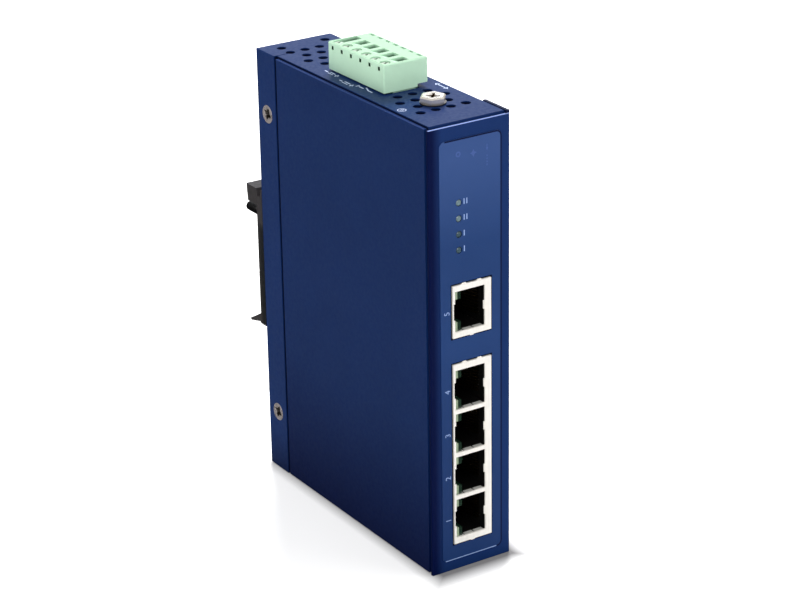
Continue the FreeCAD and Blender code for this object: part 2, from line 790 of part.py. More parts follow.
def build_rail_spring():
    """The spring wire: a bar in the ear with a leg down at each end, and a dipped foot on each."""
    wire = new_body("rail_spring")
    leg_x = right - S.clip_side_wall - S.spring_room - S.spring_wire_radius
    foot_z = ear_low - S.spring_foot_drop
    bend = S.spring_bend_radius
    path = wire.newObject("Sketcher::SketchObject", "rail_spring_path")
    path.AttachmentSupport = [(origin_feature(wire, "XZ_Plane"), "")]
    path.MapMode = "FlatFace"
    bind(path, "AttachmentOffset.Base.z", -pivot_y)
    joints = [
        (-leg_x, foot_z), (-leg_x, pivot_z - bend), (-leg_x + bend, pivot_z),
        (leg_x - bend, pivot_z), (leg_x, pivot_z - bend), (leg_x, foot_z),
    ]
    spots = [Vector(across.value, up.value, 0) for across, up in joints]
    path.addGeometry([Part.LineSegment(spots[i], spots[i + 1]) for i in (0, 2, 4)], False)
    for index, spot in enumerate(joints):
        pin_point(path, index // 2, 1 + index % 2, *spot)
    quarter = math.pi / 2
    upright = Vector(0, 0, 1)
    corner = Part.Circle(Vector((bend - leg_x).value, (pivot_z - bend).value, 0), upright, bend.value)
    path.addGeometry(Part.ArcOfCircle(corner, quarter, 2 * quarter), False)
    corner = Part.Circle(Vector((leg_x - bend).value, (pivot_z - bend).value, 0), upright, bend.value)
    path.addGeometry(Part.ArcOfCircle(corner, 0, quarter), False)
    path.addConstraint([
        Sketcher.Constraint("Tangent", 3, 2, 0, 2),
        Sketcher.Constraint("Coincident", 3, 1, 1, 1),
        Sketcher.Constraint("Tangent", 4, 1, 2, 1),
        Sketcher.Constraint("Coincident", 4, 2, 1, 2),
    ])
    section = sketch_on(wire, "XY", foot_z, [Circle(-leg_x, pivot_y, S.spring_wire_radius)])
    pipe = wire.newObject("PartDesign::AdditivePipe", "rail_spring_bent")
    pipe.Profile = section
    pipe.Spine = path
    wire.Tip = pipe
    foot = new_body("dipped_foot", kept=False)
    radius = S.spring_foot_radius
    pad(foot, "XZ", [Circle(0, 0, radius)], 0, S.spring_foot_length)
    round_edges(foot, radius * 0.55, lambda edge: True, "PartDesign::Chamfer")
    bore = Circle(0, S.spring_pivot_behind - S.spring_foot_from, S.spring_wire_radius)
    cut(foot, "XY", [bore], 0, radius)
    foot_y = rear + S.spring_foot_from
    copies("spring_feet", foot, [(-leg_x, foot_y, foot_z), (leg_x, foot_y, foot_z)],
           FreeCAD.Rotation())


def build_terminal_header():
    """The socket of the terminal block, on the board under the top's opening."""
    body = new_body("terminal_header")
    neck_left = -S.plug_neck_left - S.header_clearance
    neck_right = S.plug_neck_right + S.header_clearance
    mouth = top - S.header_below_top
    trough = [
        (neck_left - S.header_wall, header_low), (board_left, header_low),
        (board_left, board_top - S.seam_gap), (neck_right + S.header_wall, board_top),
        (neck_right + S.header_wall, mouth), (neck_right, mouth), (neck_right, header_floor),
        (neck_left, header_floor), (neck_left, mouth), (neck_left - S.header_wall, mouth),
    ]
    pad(body, "XZ", [trough], -neck_half, neck_half)
    pin_x = (S.plug_neck_right - S.plug_neck_left) / 2
    half = S.header_pin / 2
    bend_z = header_floor - S.header_base / 2
    upright = [rectangle(pin_x - half, pin_x + half, y - half, y + half) for y in pole_ys]
    lying = [rectangle(y - half, y + half, bend_z - half, bend_z + half) for y in pole_ys]
    cut(body, "XY", upright, bend_z - half, header_floor)
    cut(body, "YZ", lying, pin_x - half, board_left)
    pins = new_body("header_pins")
    pad(pins, "XY", upright, bend_z - half, header_floor + S.header_pin_reach)
    pad(pins, "YZ", lying, pin_x - half, board_right + S.header_pin)


def build_terminal_plug():
    """The six-way plug with its funnels, screw holes, test holes and key slots."""
    body = new_body("terminal_plug")
    half = S.plug_width / 2
    block = [
        (-half, plug_base), (S.plug_step_from, plug_base), (S.plug_step_from, plug_base + S.plug_step),
        (half, plug_base + S.plug_step), (half, plug_top), (-half, plug_top),
    ]
    pad(body, "XZ", [block], -plug_half, plug_half)
    neck = rectangle(-S.plug_neck_left, S.plug_neck_right, header_floor, plug_base)
    pad(body, "XZ", [neck], -neck_half, neck_half)
    round_edges(body, S.plug_edge, lambda edge: at(edge, z=plug_top) or (
        runs_along(edge, "z") and edge.CenterOfMass.z > plug_base.value + 1), "PartDesign::Chamfer")
    centre = (S.plug_neck_right - S.plug_neck_left) / 2
    funnel_floor = plug_top - S.plug_hole_depth
    hole_left = centre - S.plug_hole_left
    hole_right = centre + S.plug_hole_right
    cage = S.plug_cage_width / 2
    cage_floor = funnel_floor - S.plug_cage_height
    socket = S.plug_socket_width / 2
    for y in pole_ys:
        last = y is pole_ys[-1]
        ramp_left = -S.plug_rear_ramp_from if last else centre - S.plug_ramp_from
        ramp_fall = S.plug_rear_ramp_fall if last else S.plug_ramp_fall
        funnel = [
            (ramp_left, plug_top), (hole_left, plug_top - ramp_fall), (hole_left, funnel_floor),
            (hole_right, funnel_floor), (hole_right, plug_top),
        ]
        cut(body, "XZ", [funnel], y - S.plug_hole_width / 2, y + S.plug_hole_width / 2)
    cages = [rectangle(centre - cage, centre + cage, y - cage, y + cage) for y in pole_ys]
    cut(body, "XY", cages, cage_floor, funnel_floor)
    sockets = [rectangle(centre - socket, centre + socket, y - socket, y + socket) for y in pole_ys]
    cut(body, "XY", sockets, header_floor, cage_floor)
    screw_bore = S.plug_screw_radius + S.hole_clearance
    screws = [Circle(-S.plug_screw_offset, y, screw_bore) for y in pole_ys]
    cut(body, "XY", screws, plug_top - S.plug_screw_sunk - S.plug_screw_length, plug_top)
    test = S.plug_test_hole / 2
    test_z = plug_top - S.plug_test_below_top
    holes = [rectangle(y - test, y + test, test_z - test, test_z + test) for y in pole_ys]
    cut(body, "YZ", holes, -half, -half + S.plug_test_depth, from_low=True)
    slots = []
    for index in range(PLUG_SLOTS):
        y = S.plug_slot_pitch * (index - (PLUG_SLOTS - 1) / 2)
        slots.append(rectangle(
            S.plug_slot_offset - S.plug_slot_width / 2, S.plug_slot_offset + S.plug_slot_width / 2,
            y - S.plug_slot_length / 2, y + S.plug_slot_length / 2))
    cut(body, "XY", slots, plug_top - S.plug_slot_depth, plug_top)
    build_plug_metal(centre, cages, cage_floor, funnel_floor, socket)


def build_plug_metal(centre, cages, cage_floor, funnel_floor, socket):
    """The clamp cages and clamp screws inside the plug."""
    clamps = new_body("terminal_clamps")
    pad(clamps, "XY", cages, cage_floor, funnel_floor)
    inner = S.plug_cage_width / 2 - S.plug_cage_wall
    wells = [rectangle(centre - inner, centre + inner, y - inner, y + inner) for y in pole_ys]
    cut(clamps, "XY", wells, cage_floor + S.plug_cage_wall, funnel_floor)
    sleeve_foot = header_floor + S.plug_sleeve_above
    sleeves = [rectangle(centre - socket, centre + socket, y - socket, y + socket) for y in pole_ys]
    pad(clamps, "XY", sleeves, sleeve_foot, cage_floor)
    pin = S.header_pin / 2
    ways = [rectangle(centre - pin, centre + pin, y - pin, y + pin) for y in pole_ys]
    cut(clamps, "XY", ways, sleeve_foot, cage_floor + S.plug_cage_wall)
    screw = new_body("clamp_screw", kept=False)
    pad(screw, "XY", [Circle(0, 0, S.plug_screw_radius)], -S.plug_screw_length, 0)
    groove = rectangle(-S.plug_screw_radius, S.plug_screw_radius,
                       -S.recess_width / 2, S.recess_width / 2)
    cut(screw, "XY", [groove], -S.recess_depth, 0)
    turned = FreeCAD.Rotation(Vector(0, 0, 1), 35)
    head_z = plug_top - S.plug_screw_sunk
    copies("terminal_screws", screw, [(-S.plug_screw_offset, y, head_z) for y in pole_ys], turned)


def jack_opening(centre_z):
    """Return a socket's mouth in its face: the port and the latch way to its left."""
    low = centre_z - S.port_width / 2
    high = centre_z + S.port_width / 2
    port_left = jack_left + S.port_left_wall
    port_right = jack_right - S.port_right_wall
    latch_left = jack_left + S.jack_shield_sheet
    latch = S.latch_width / 2
    return [
        (port_left, low), (port_right, low), (port_right, high), (port_left, high),
        (port_left, centre_z + latch), (latch_left, centre_z + latch),
        (latch_left, centre_z - latch), (port_left, centre_z - latch),
    ]


def folded_lips(port_low):
    """Return the three lips that a shield folds in under a port, side by side."""
    start = jack_left + S.port_left_wall
    end = jack_right - S.port_right_wall - S.lip_inset
    span = (end - start - 2 * S.lip_notch) / 3
    step = span + S.lip_notch
    return [rectangle(start + step * i, start + step * i + span,
                      port_low - S.jack_shield_sheet, port_low) for i in range(3)]


def build_jack_shield(label, low, width, depth, centres):
    """The bright shield of a socket: a face with its mouths, side walls, tabs and fingers."""
    body = new_body(label)
    high = low + width
    skin = S.jack_shield_sheet
    back = jack_face + depth
    face_back = jack_face + S.jack_face_sheet
    pad(body, "XZ", [rectangle(jack_left, jack_right, low, high)], jack_face, back)
    hollow = rectangle(jack_left + skin, jack_right - skin, low + skin, high - skin)
    cut(body, "XZ", [hollow], face_back, back)
    for centre_z in centres:
        cut(body, "XZ", [jack_opening(centre_z)], jack_face, face_back)
    port_right = jack_right - S.port_right_wall
    bump = [rectangle(port_right - S.tab_reach, port_right + skin,
                      z - S.tab_length / 2, z + S.tab_length / 2) for z in centres]
    pad(body, "XZ", bump, jack_face + skin / 2, face_back)
    lips = [lip for z in centres for lip in folded_lips(z - S.port_width / 2)]
    pad(body, "XZ", lips, face_back, face_back + S.lip_depth)
    finger_y = front + S.sheet + S.finger_length
    fingers = []
    for side in (-1, 1):
        middle = S.jack_centre + side * S.jack_height / 5
        fingers.append([(middle - S.finger_length / 2, high - skin / 2),
                        (middle + S.finger_length / 2, high - skin / 2),
                        (middle + S.finger_length / 4, high + S.finger_height),
                        (middle - S.finger_length / 4, high + S.finger_height)])
    fingers.append([(S.jack_centre - S.finger_length / 2, low + skin / 2),
                    (S.jack_centre - S.finger_length / 4, low - S.finger_height),
                    (S.jack_centre + S.finger_length / 4, low - S.finger_height),
                    (S.jack_centre + S.finger_length / 2, low + skin / 2)])
    pad(body, "XZ", fingers, jack_face + S.jack_face_sheet / 2, finger_y)


def build_jack_insides(prefix, low, width, depth, centres):
    """The moulding behind a socket's face, its contacts and its two small lamps a port."""
    skin = S.jack_shield_sheet
    high = low + width
    face_back = jack_face + S.jack_face_sheet
    back = jack_face + depth
    port_left = jack_left + S.port_left_wall
    port_right = jack_right - S.port_right_wall
    latch_left = jack_left + skin
    body = new_body(f"{prefix}_insert")
    outer = rectangle(jack_left + skin, jack_right - skin, low + skin, high - skin)
    pad(body, "XZ", [outer], face_back, back)
    half = S.port_width / 2
    latch = S.latch_width / 2
    lamp_in = half - S.lamp_width
    lamp_right = port_left + S.lamp_height
    lamp_back = face_back + S.lamp_set_back + S.lamp_length
    lamps = new_body(f"{prefix}_lamps")
    lamp_outlines = []
    for z in centres:
        way = [
            (lamp_right, z - half), (port_right, z - half), (port_right, z + half),
            (lamp_right, z + half), (lamp_right, z + lamp_in), (port_left, z + lamp_in),
            (port_left, z + latch), (latch_left, z + latch), (latch_left, z - latch),
            (port_left, z - latch), (port_left, z - lamp_in), (lamp_right, z - lamp_in),
        ]
        cut(body, "XZ", [way], face_back, face_back + S.port_depth)
        bed = rectangle(port_left, port_right - S.lip_inset, z - half - skin, z - half)
        cut(body, "XZ", [bed], face_back, face_back + S.lip_depth)
        pair = [rectangle(port_left, lamp_right, z + lamp_in, z + half),
                rectangle(port_left, lamp_right, z - half, z - lamp_in)]
        lamp_outlines += pair
        cut(body, "XZ", pair, face_back, lamp_back)
    pad(lamps, "XZ", lamp_outlines, face_back + S.lamp_set_back, lamp_back)
    contacts = new_body(f"{prefix}_contacts")
    start = face_back + S.contact_from
    strip = [
        (port_right, start), (port_right - S.contact_rise, start + S.contact_run),
        (port_right - S.contact_rise - S.contact_thickness, start + S.contact_run),
        (port_right - 2 * S.contact_thickness, start),
    ]
    span = S.contact_pitch * (CONTACTS - 1) + S.contact_width
    first_low = centres[0] - span / 2
    wire = pad(contacts, "XY", [strip], first_low, first_low + S.contact_width)
    comb = row_of(contacts, [wire], "Z_Axis", S.contact_pitch, CONTACTS)
    if len(centres) > 1:
        repeat_ports(contacts, strip, centres, span)


def repeat_ports(contacts, strip, centres, span):
    """Add the contact combs of a gang's other ports."""
    for centre in centres[1:]:
        low = centre - span / 2
        wire = pad(contacts, "XY", [strip], low, low + S.contact_width)
        row_of(contacts, [wire], "Z_Axis", S.contact_pitch, CONTACTS)


def build_jacks():
    """The single uplink socket above and the gang of four below."""
    uplink = (uplink_low, S.uplink_width, S.uplink_depth, [uplink_centre])
    gang = (S.gang_low, gang_width, S.gang_depth, gang_centres)
    for prefix, spec in (("uplink_jack", uplink), ("gang_jack", gang)):
        build_jack_shield(f"{prefix}_shield", *spec)
        build_jack_insides(prefix, *spec)


def build_front_label():
    """The printed film on the front panel, with windows for the sockets and the lights."""
    body = new_body("front_label")
    half = S.label_width / 2
    centre = S.jack_centre
    high = top - S.label_below_top
    sheet_face = front - S.label_thickness
    pad(body, "XZ", [rectangle(centre - half, centre + half, S.label_low, high)], sheet_face, front)
    round_edges(body, S.label_corner, lambda edge: runs_along(edge, "y"))
    gap = S.jack_gap
    windows = [
        rectangle(jack_left - gap, jack_right + gap, uplink_low - gap, uplink_high + gap),
        rectangle(jack_left - gap, jack_right + gap, S.gang_low - gap, gang_top + gap),
    ]
    windows += [Circle(status_x, z, S.status_radius + S.hole_clearance) for z in status_zs]
    cut(body, "XZ", windows, sheet_face, front)


def build_status_lights():
    """The four light pipes of the status lights, and their holder on the board."""
    face = front - S.label_thickness - S.status_proud
    pipes = new_body("status_lights")
    rods = [Circle(status_x, z, S.status_radius) for z in status_zs]
    pad(pipes, "XZ", rods, face, holder_back)
    round_edges(pipes, S.status_radius * 0.3, lambda edge: at(edge, y=face),
                "PartDesign::Chamfer")
    holder = new_body("light_pipe_holder")
    margin = S.pipe_holder_margin
    block = rectangle(status_x - margin, board_left, status_zs[0] - margin, status_zs[-1] + margin)
    pad(holder, "XZ", [block], holder_front, holder_back)
    cut(holder, "XZ", rods, holder_front, holder_back)


def build_board():
    """The circuit board on its standoffs, with the screws that hold it."""
    board = new_body("main_board")
    pad(board, "YZ", [rectangle(board_front, board_rear, S.board_low, board_top)], board_left, board_right)
    cut(board, "YZ", [Circle(y, z, S.board_hole_radius) for y, z in standoffs], board_left, board_right)
    half = S.header_pin / 2
    bend_z = header_floor - S.header_base / 2
    pin_holes = [rectangle(y - half, y + half, bend_z - half, bend_z + half) for y in pole_ys]
    cut(board, "YZ", pin_holes, board_left, board_right)
    wall = chassis_right - S.sheet
    face_right = FreeCAD.Rotation(Vector(0, 1, 0), 90)
    face_left = FreeCAD.Rotation(Vector(0, 1, 0), -90)
    standoff = ring("standoff", S.standoff_radius, S.standoff_bore, wall - board_right)
    copies("board_standoffs", standoff, [(board_right, y, z) for y, z in standoffs], face_right)
    screw = new_body("pan_screw", kept=False)
    reach = S.board_thickness + (wall - board_right) * 0.8
    turn(screw, [
        (0, S.board_screw_head_height), (S.board_screw_head * 0.7, S.board_screw_head_height),
        (S.board_screw_head, S.board_screw_head_height * 0.5), (S.board_screw_head, 0),
        (S.board_screw_radius, 0), (S.board_screw_radius, -reach), (0, -reach),
    ])
    cut(screw, "XY", [cross_recess()], S.board_screw_head_height - S.recess_depth,
        S.board_screw_head_height)
    copies("board_screws", screw, [(board_left, y, z) for y, z in standoffs], face_left)


def on_board(body, y, z, length, width, height):
    """Add a block on the board: its middle, its size along Y and Z, and its height."""
    outline = rectangle(y - length / 2, y + length / 2, z - width / 2, z + width / 2)
    return pad(body, "YZ", [outline], board_left - height, board_left)


def build_board_parts():
    """The parts on the board: the switch chip and its heat sink, modules and power parts."""
    modules = new_body("line_transformers")
    module_y = front + S.gang_depth + S.module_width / 2 + S.board_front_gap
    for z in gang_centres + [uplink_centre]:
        on_board(modules, module_y, z, S.module_length, S.module_width, S.module_height)
    round_edges(modules, S.sheet / 2, lambda edge: at(edge, x=board_left - S.module_height),
                "PartDesign::Chamfer")
    power_y = board_rear - S.inductor_size
    inductors = new_body("power_inductors")
    for index in range(2):
        z = uplink_low + index * S.inductor_size * 1.3
        on_board(inductors, power_y, z, S.inductor_size, S.inductor_size, S.inductor_height)
    round_edges(inductors, S.inductor_size / 6, lambda edge: runs_along(edge, "x"))
    cans = new_body("board_capacitors")
    radius = S.capacitor_radius
    spots = [(power_y, S.gang_low + radius + i * radius * 2.6) for i in range(4)]
    pad(cans, "YZ", [Circle(y, z, radius) for y, z in spots], board_left - S.capacitor_height, board_left)
    round_edges(cans, radius / 8, lambda edge: at(edge, x=board_left - S.capacitor_height),
                "PartDesign::Chamfer")
    module_rear = module_y + S.module_length / 2
    chip_room = power_y - radius - module_rear
    chip_y = module_rear + chip_room / 2
    chip_z = S.gang_low + gang_width / 2
    chip = new_body("switch_chip")
    chip_size = chip_room * S.switch_chip_share
    on_board(chip, chip_y, chip_z, chip_size, chip_size, S.switch_chip_height)
    sink = new_body("heat_sink")
    foot = board_left - S.switch_chip_height
    sink_size = chip_room * S.heat_sink_share
    half = sink_size / 2
    base = rectangle(chip_y - half, chip_y + half, chip_z - half, chip_z + half)
    pad(sink, "YZ", [base], foot - S.heat_sink_base, foot)
    step = (sink_size - S.heat_sink_fin) / (HEAT_SINK_FINS - 1)
    fins = [rectangle(chip_y - half + step * i, chip_y - half + step * i + S.heat_sink_fin,
                      chip_z - half, chip_z + half) for i in range(HEAT_SINK_FINS)]
    pad(sink, "YZ", fins, foot - S.heat_sink_height, foot - S.heat_sink_base / 2)
    relay = new_body("alarm_relay")
    relay_y = power_y - (S.inductor_size + S.relay_width) / 2 - S.part_clearance
    relay_z = header_low - S.part_clearance - S.relay_length / 2
    on_board(relay, relay_y, relay_z, S.relay_width, S.relay_length, S.relay_height)
    round_edges(relay, S.sheet / 2, lambda edge: runs_along(edge, "x"))
    fuse = new_body("input_fuse")
    fuse_z = status_low + S.status_pitch
    on_board(fuse, 0, fuse_z, S.fuse_length, S.fuse_width, S.fuse_height)
    round_edges(fuse, S.sheet / 2, lambda edge: runs_along(edge, "y"), "PartDesign::Chamfer")
    crystal = new_body("clock_crystal")
    on_board(crystal, chip_y, uplink_low + S.crystal_width, S.crystal_length, S.crystal_width,
             S.crystal_height)
    round_edges(crystal, S.crystal_width * 0.45, lambda edge: runs_along(edge, "x"))
    chips = new_body("small_chips")
    beside_fuse = (S.fuse_length + S.chip_length) / 2
    for y, z in ((chip_y, uplink_centre + S.chip_length), (beside_fuse + S.lap_gap, fuse_z),
                 (-S.chip_length * 2, fuse_z), (board_rear - S.chip_length, chip_z + S.chip_length * 2)):
        on_board(chips, y, z, S.chip_length, S.chip_width, S.chip_height)


def write_parts():
    """Check every object and write each sub-part to its own file."""
    doc.recompute()
    failed = [item.Name for item in doc.Objects
              if "Invalid" in item.State or "Error" in item.State]
    if failed:
        raise RuntimeError(f"these did not recompute: {failed}")
    os.makedirs("parts", exist_ok=True)
    for part in parts:
        shape = part.Shape
        if shape.isNull() or not shape.isValid() or not shape.Solids:
            raise RuntimeError(f"{part.Label} has no valid solid")
        shape.exportStep(f"parts/{part.Label}.step")
        box = shape.BoundBox
        print(f"{part.Label}: {len(shape.Solids)} solids, {shape.Volume:.1f} mm3, "
              f"x {box.XMin:.2f}..{box.XMax:.2f}, y {box.YMin:.2f}..{box.YMax:.2f}, "
              f"z {box.ZMin:.2f}..{box.ZMax:.2f}")


build_chassis()
build_front_panel()
build_left_cover()
build_cover_fasteners()
build_ground_terminal()
build_rail_bracket()
build_rail_spring()
build_terminal_header()
build_terminal_plug()
build_jacks()
build_front_label()
build_status_lights()
build_board()
build_board_parts()
write_parts()
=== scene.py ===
import logging
import math
from dataclasses import dataclass, replace
from enum import Enum

import bmesh
import bpy
from mathutils import Matrix, Vector


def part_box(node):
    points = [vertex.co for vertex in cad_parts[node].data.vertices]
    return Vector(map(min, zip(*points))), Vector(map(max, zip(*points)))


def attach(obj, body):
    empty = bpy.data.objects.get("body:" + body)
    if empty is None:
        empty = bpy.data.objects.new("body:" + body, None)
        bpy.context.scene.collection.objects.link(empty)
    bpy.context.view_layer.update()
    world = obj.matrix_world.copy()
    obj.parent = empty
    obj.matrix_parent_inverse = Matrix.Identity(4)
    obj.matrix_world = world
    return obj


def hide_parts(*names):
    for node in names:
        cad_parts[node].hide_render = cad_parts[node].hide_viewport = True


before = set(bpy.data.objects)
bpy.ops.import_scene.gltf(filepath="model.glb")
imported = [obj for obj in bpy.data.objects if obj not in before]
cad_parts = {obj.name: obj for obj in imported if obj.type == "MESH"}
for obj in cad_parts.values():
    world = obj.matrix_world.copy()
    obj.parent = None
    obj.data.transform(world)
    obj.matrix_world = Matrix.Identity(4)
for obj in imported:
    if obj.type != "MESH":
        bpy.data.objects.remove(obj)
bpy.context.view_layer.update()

log = logging.getLogger("rail_switch")
MM = 0.001
Colour = tuple[float, float, float]
Spot = tuple[float, float, float]
Pair = tuple[float, float]


def screen(red: int, green: int, blue: int) -> Colour:
    """Turn a screen colour into linear light.

    Args:
        red: Red from 0 to 255.
        green: Green from 0 to 255.
        blue: Blue from 0 to 255.

    Returns:
        The colour as three linear values.
    """
    def linear(channel: float) -> float:
        """Undo the screen's curve on one channel."""
        return channel / 12.92 if channel <= 0.04045 else ((channel + 0.055) / 1.055) ** 2.4

    return linear(red / 255), linear(green / 255), linear(blue / 255)


def corners(node: str) -> tuple[Vector, Vector]:
    """Find the box that a CAD node fills.

    Args:
        node: The node's name.

    Returns:
        Its lowest and its highest corner, in millimetres.
    """
    low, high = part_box(node)
    return low / MM, high / MM


class Axis(Enum):
    """The way that a metal's fine lines run: the pattern's scale along X, Y and Z."""

    X = (0.04, 1.0, 1.0)
    Y = (1.0, 0.04, 1.0)
    Z = (1.0, 1.0, 0.04)
    NONE = (1.0, 1.0, 1.0)


class Face(Enum):
    """The face that a shape lies on: which of across, up and depth runs along X, Y and Z."""

    TOP = (0, 1, 2)
    FRONT = (0, 2, 1)


class Graph:
    """A node tree under construction."""

    def __init__(self, tree: bpy.types.NodeTree) -> None:
        """Keep the tree and empty it.

        Args:
            tree: The node tree of a material, group or world.
        """
        self.tree = tree
        tree.nodes.clear()

    def node(self, kind: str, **settings: object) -> bpy.types.Node:
        """Add a node.

        Args:
            kind: The node's type name.
            **settings: Its properties.

        Returns:
            The new node.
        """
        made = self.tree.nodes.new(kind)
        for name, value in settings.items():
            setattr(made, name, value)
        return made

    def feed(self, socket: bpy.types.NodeSocket, source: object) -> None:
        """Link a socket to another, or set its value.

        Args:
            socket: The input to feed.
            source: An output socket, or a plain value.
        """
        if isinstance(source, bpy.types.NodeSocket):
            self.tree.links.new(source, socket)
        else:
            socket.default_value = source

    def maths(self, operation: str, first: object, second: object) -> bpy.types.NodeSocket:
        """Add a Math node.

        Args:
            operation: Its operation.
            first: Its first value or socket.
            second: Its second value or socket.

        Returns:
            The node's output.
        """
        made = self.node("ShaderNodeMath", operation=operation)
        self.feed(made.inputs[0], first)
        self.feed(made.inputs[1], second)
        return made.outputs[0]

    def vector(self, operation: str, first: object,
               second: object = (0.0, 0.0, 0.0)) -> bpy.types.NodeSocket:
        """Add a Vector Math node.

        Args:
            operation: Its operation.
            first: Its first vector.
            second: Its second vector, or the number that SCALE takes.

        Returns:
            The node's vector output.
        """
        made = self.node("ShaderNodeVectorMath", operation=operation)
        self.feed(made.inputs[0], first)
        self.feed(made.inputs["Scale" if operation == "SCALE" else 1], second)
        return made.outputs[0]

    def mix(self, factor: object, first: object, second: object) -> bpy.types.NodeSocket:
        """Add a colour Mix node.

        Args:
            factor: How much of the second colour shows.
            first: The first colour.
            second: The second colour.

        Returns:
            The node's colour output.
        """
        made = self.node("ShaderNodeMix", data_type="RGBA")
        self.feed(made.inputs["Factor"], factor)
        self.feed(made.inputs[6], first)
        self.feed(made.inputs[7], second)
        return made.outputs[2]

    def spread(self, value: object, low: float, high: float,
               from_low: float, from_high: float) -> bpy.types.NodeSocket:
        """Map a value onto another range.

        Args:
            value: The value or socket.
            low: The result at from_low.
            high: The result at from_high.
            from_low: Where the incoming range starts.
            from_high: Where it ends.

        Returns:
            The mapped value.
        """
        made = self.node("ShaderNodeMapRange")
        self.feed(made.inputs["Value"], value)
        for name, number in (("From Min", from_low), ("From Max", from_high),
                             ("To Min", low), ("To Max", high)):
            self.feed(made.inputs[name], number)
        return made.outputs["Result"]

    def swing(self, noise: object, reach: float, amount: object) -> bpy.types.NodeSocket:
        """Turn a noise, which mostly stays within 0.3 and 0.7, into a change about zero.

        Args:
            noise: The noise value.
            reach: How far that range is drawn out to either side of zero.
            amount: What the result is multiplied by.

        Returns:
            The change.
        """
        return self.maths("MULTIPLY", self.spread(noise, -reach, reach, 0.3, 0.7), amount)

    def noise(self, vector: object, scale: object, detail: float,
              roughness: float = 0.5) -> bpy.types.NodeSocket:
        """Add a noise texture.

        Args:
            vector: Where it is read.
            scale: Its scale.
            detail: Its octaves.
            roughness: How strong the fine octaves are.

        Returns:
            The noise value.
        """
        made = self.node("ShaderNodeTexNoise")
        self.feed(made.inputs["Vector"], vector)
        self.feed(made.inputs["Scale"], scale)
        self.feed(made.inputs["Detail"], detail)
        self.feed(made.inputs["Roughness"], roughness)
        return made.outputs["Fac"]


class TextureGroup(Graph):
    """A shader node group that takes a colour and gives colour, roughness and height."""

    def __init__(self, name: str, inputs: dict[str, float | Colour]) -> None:
        """Make the group, its sockets and its place on the object.

        Args:
            name: The group's name.
            inputs: Its other inputs and what they start at, a vector where that is three numbers.
        """
        super().__init__(bpy.data.node_groups.new(name, "ShaderNodeTree"))
        self.socket("Colour", "INPUT", "NodeSocketColor").default_value = (0.5, 0.5, 0.5, 1.0)
        for label, value in inputs.items():
            kind = "NodeSocketVector" if isinstance(value, tuple) else "NodeSocketFloat"
            self.socket(label, "INPUT", kind).default_value = value
        self.socket("Colour", "OUTPUT", "NodeSocketColor")
        for label in ("Roughness", "Height"):
            self.socket(label, "OUTPUT", "NodeSocketFloat")
        self.given = self.node("NodeGroupInput").outputs
        self.place = self.node("ShaderNodeTexCoord").outputs["Object"]

    def socket(self, label: str, way: str, kind: str) -> bpy.types.NodeTreeInterfaceSocket:
        """Add a socket to the group and return it."""
        return self.tree.interface.new_socket(label, in_out=way, socket_type=kind)

    def close(self, change: object, play: object, height: object) -> bpy.types.NodeTree:
        """Feed the group's outputs.

        Args:
            change: How much lighter or darker the colour gets, about zero.
            play: The noise that the roughness follows.
            height: The relief.

        Returns:
            The finished group.
        """
        gain = self.maths("ADD", 1.0, change)
        rough = self.maths("ADD", self.given["Roughness"],
                           self.swing(play, 1.0, self.given["Roughness Play"]))
        out = self.node("NodeGroupOutput")
        self.feed(out.inputs["Colour"], self.vector("SCALE", self.given["Colour"], gain))
        self.feed(out.inputs["Roughness"], rough)
        self.feed(out.inputs["Height"], height)
        return self.tree


# The scales of the textures, in cells to a metre
SPECKS, ORANGE_PEEL, PAINT_CLOUDS = 2600.0, 900.0, 28.0
ERODED_GRAIN, FLOW_MARKS = 3200.0, 160.0
DRAWN_LINES, PLATING_CLOUDS = 3800.0, 420.0


def powder_coat_group() -> bpy.types.NodeTree:
    """Build the fine texture of a baked powder coat.

    Returns:
        The node group.
    """
    group = TextureGroup("powder_coat", {
        "Grain": 1.0, "Tone": 0.1, "Roughness": 0.4, "Roughness Play": 0.08})
    grain, tone = group.given["Grain"], group.given["Tone"]
    fine = group.noise(group.place, group.maths("MULTIPLY", grain, SPECKS), detail=2.0)
    orange_peel = group.noise(group.place, group.maths("MULTIPLY", grain, ORANGE_PEEL), detail=1.0)
    cloud = group.noise(group.place, PAINT_CLOUDS, detail=3.0)
    change = group.maths("ADD", group.swing(cloud, 1.0, tone), group.swing(fine, 0.5, tone))
    height = group.maths("ADD", group.maths("MULTIPLY", fine, 0.4), orange_peel)
    return group.close(change, orange_peel, height)


def moulded_skin_group() -> bpy.types.NodeTree:
    """Build the faint flow marks and eroded grain of a moulding.

    Returns:
        The node group.
    """
    group = TextureGroup("moulded_skin", {
        "Grain": 1.0, "Flow": 0.08, "Roughness": 0.45, "Roughness Play": 0.06})
    cells = group.node("ShaderNodeTexVoronoi", feature="SMOOTH_F1")
    group.feed(cells.inputs["Vector"], group.place)
    group.feed(cells.inputs["Scale"],
               group.maths("MULTIPLY", group.given["Grain"], ERODED_GRAIN))
    flow = group.noise(group.place, FLOW_MARKS, detail=3.0, roughness=0.6)
    change = group.swing(flow, 1.0, group.given["Flow"])
    return group.close(change, flow, cells.outputs["Distance"])


def drawn_metal_group() -> bpy.types.NodeTree:
    """Build the fine lines and cloudy plating of rolled or drawn metal.

    Returns:
        The node group.
    """
    group = TextureGroup("drawn_metal", {
        "Line Depth": 0.15, "Roughness": 0.3, "Roughness Play": 0.12,
        "Stretch": (1.0, 1.0, 1.0)})
    depth = group.given["Line Depth"]
    pulled = group.vector("MULTIPLY", group.place, group.given["Stretch"])
    lines = group.noise(pulled, DRAWN_LINES, detail=2.0, roughness=0.6)
    cloud = group.noise(group.place, PLATING_CLOUDS, detail=3.0)
    change = group.maths("ADD", group.swing(lines, 1.0, depth), group.swing(cloud, 0.5, depth))
    return group.close(change, cloud, lines)


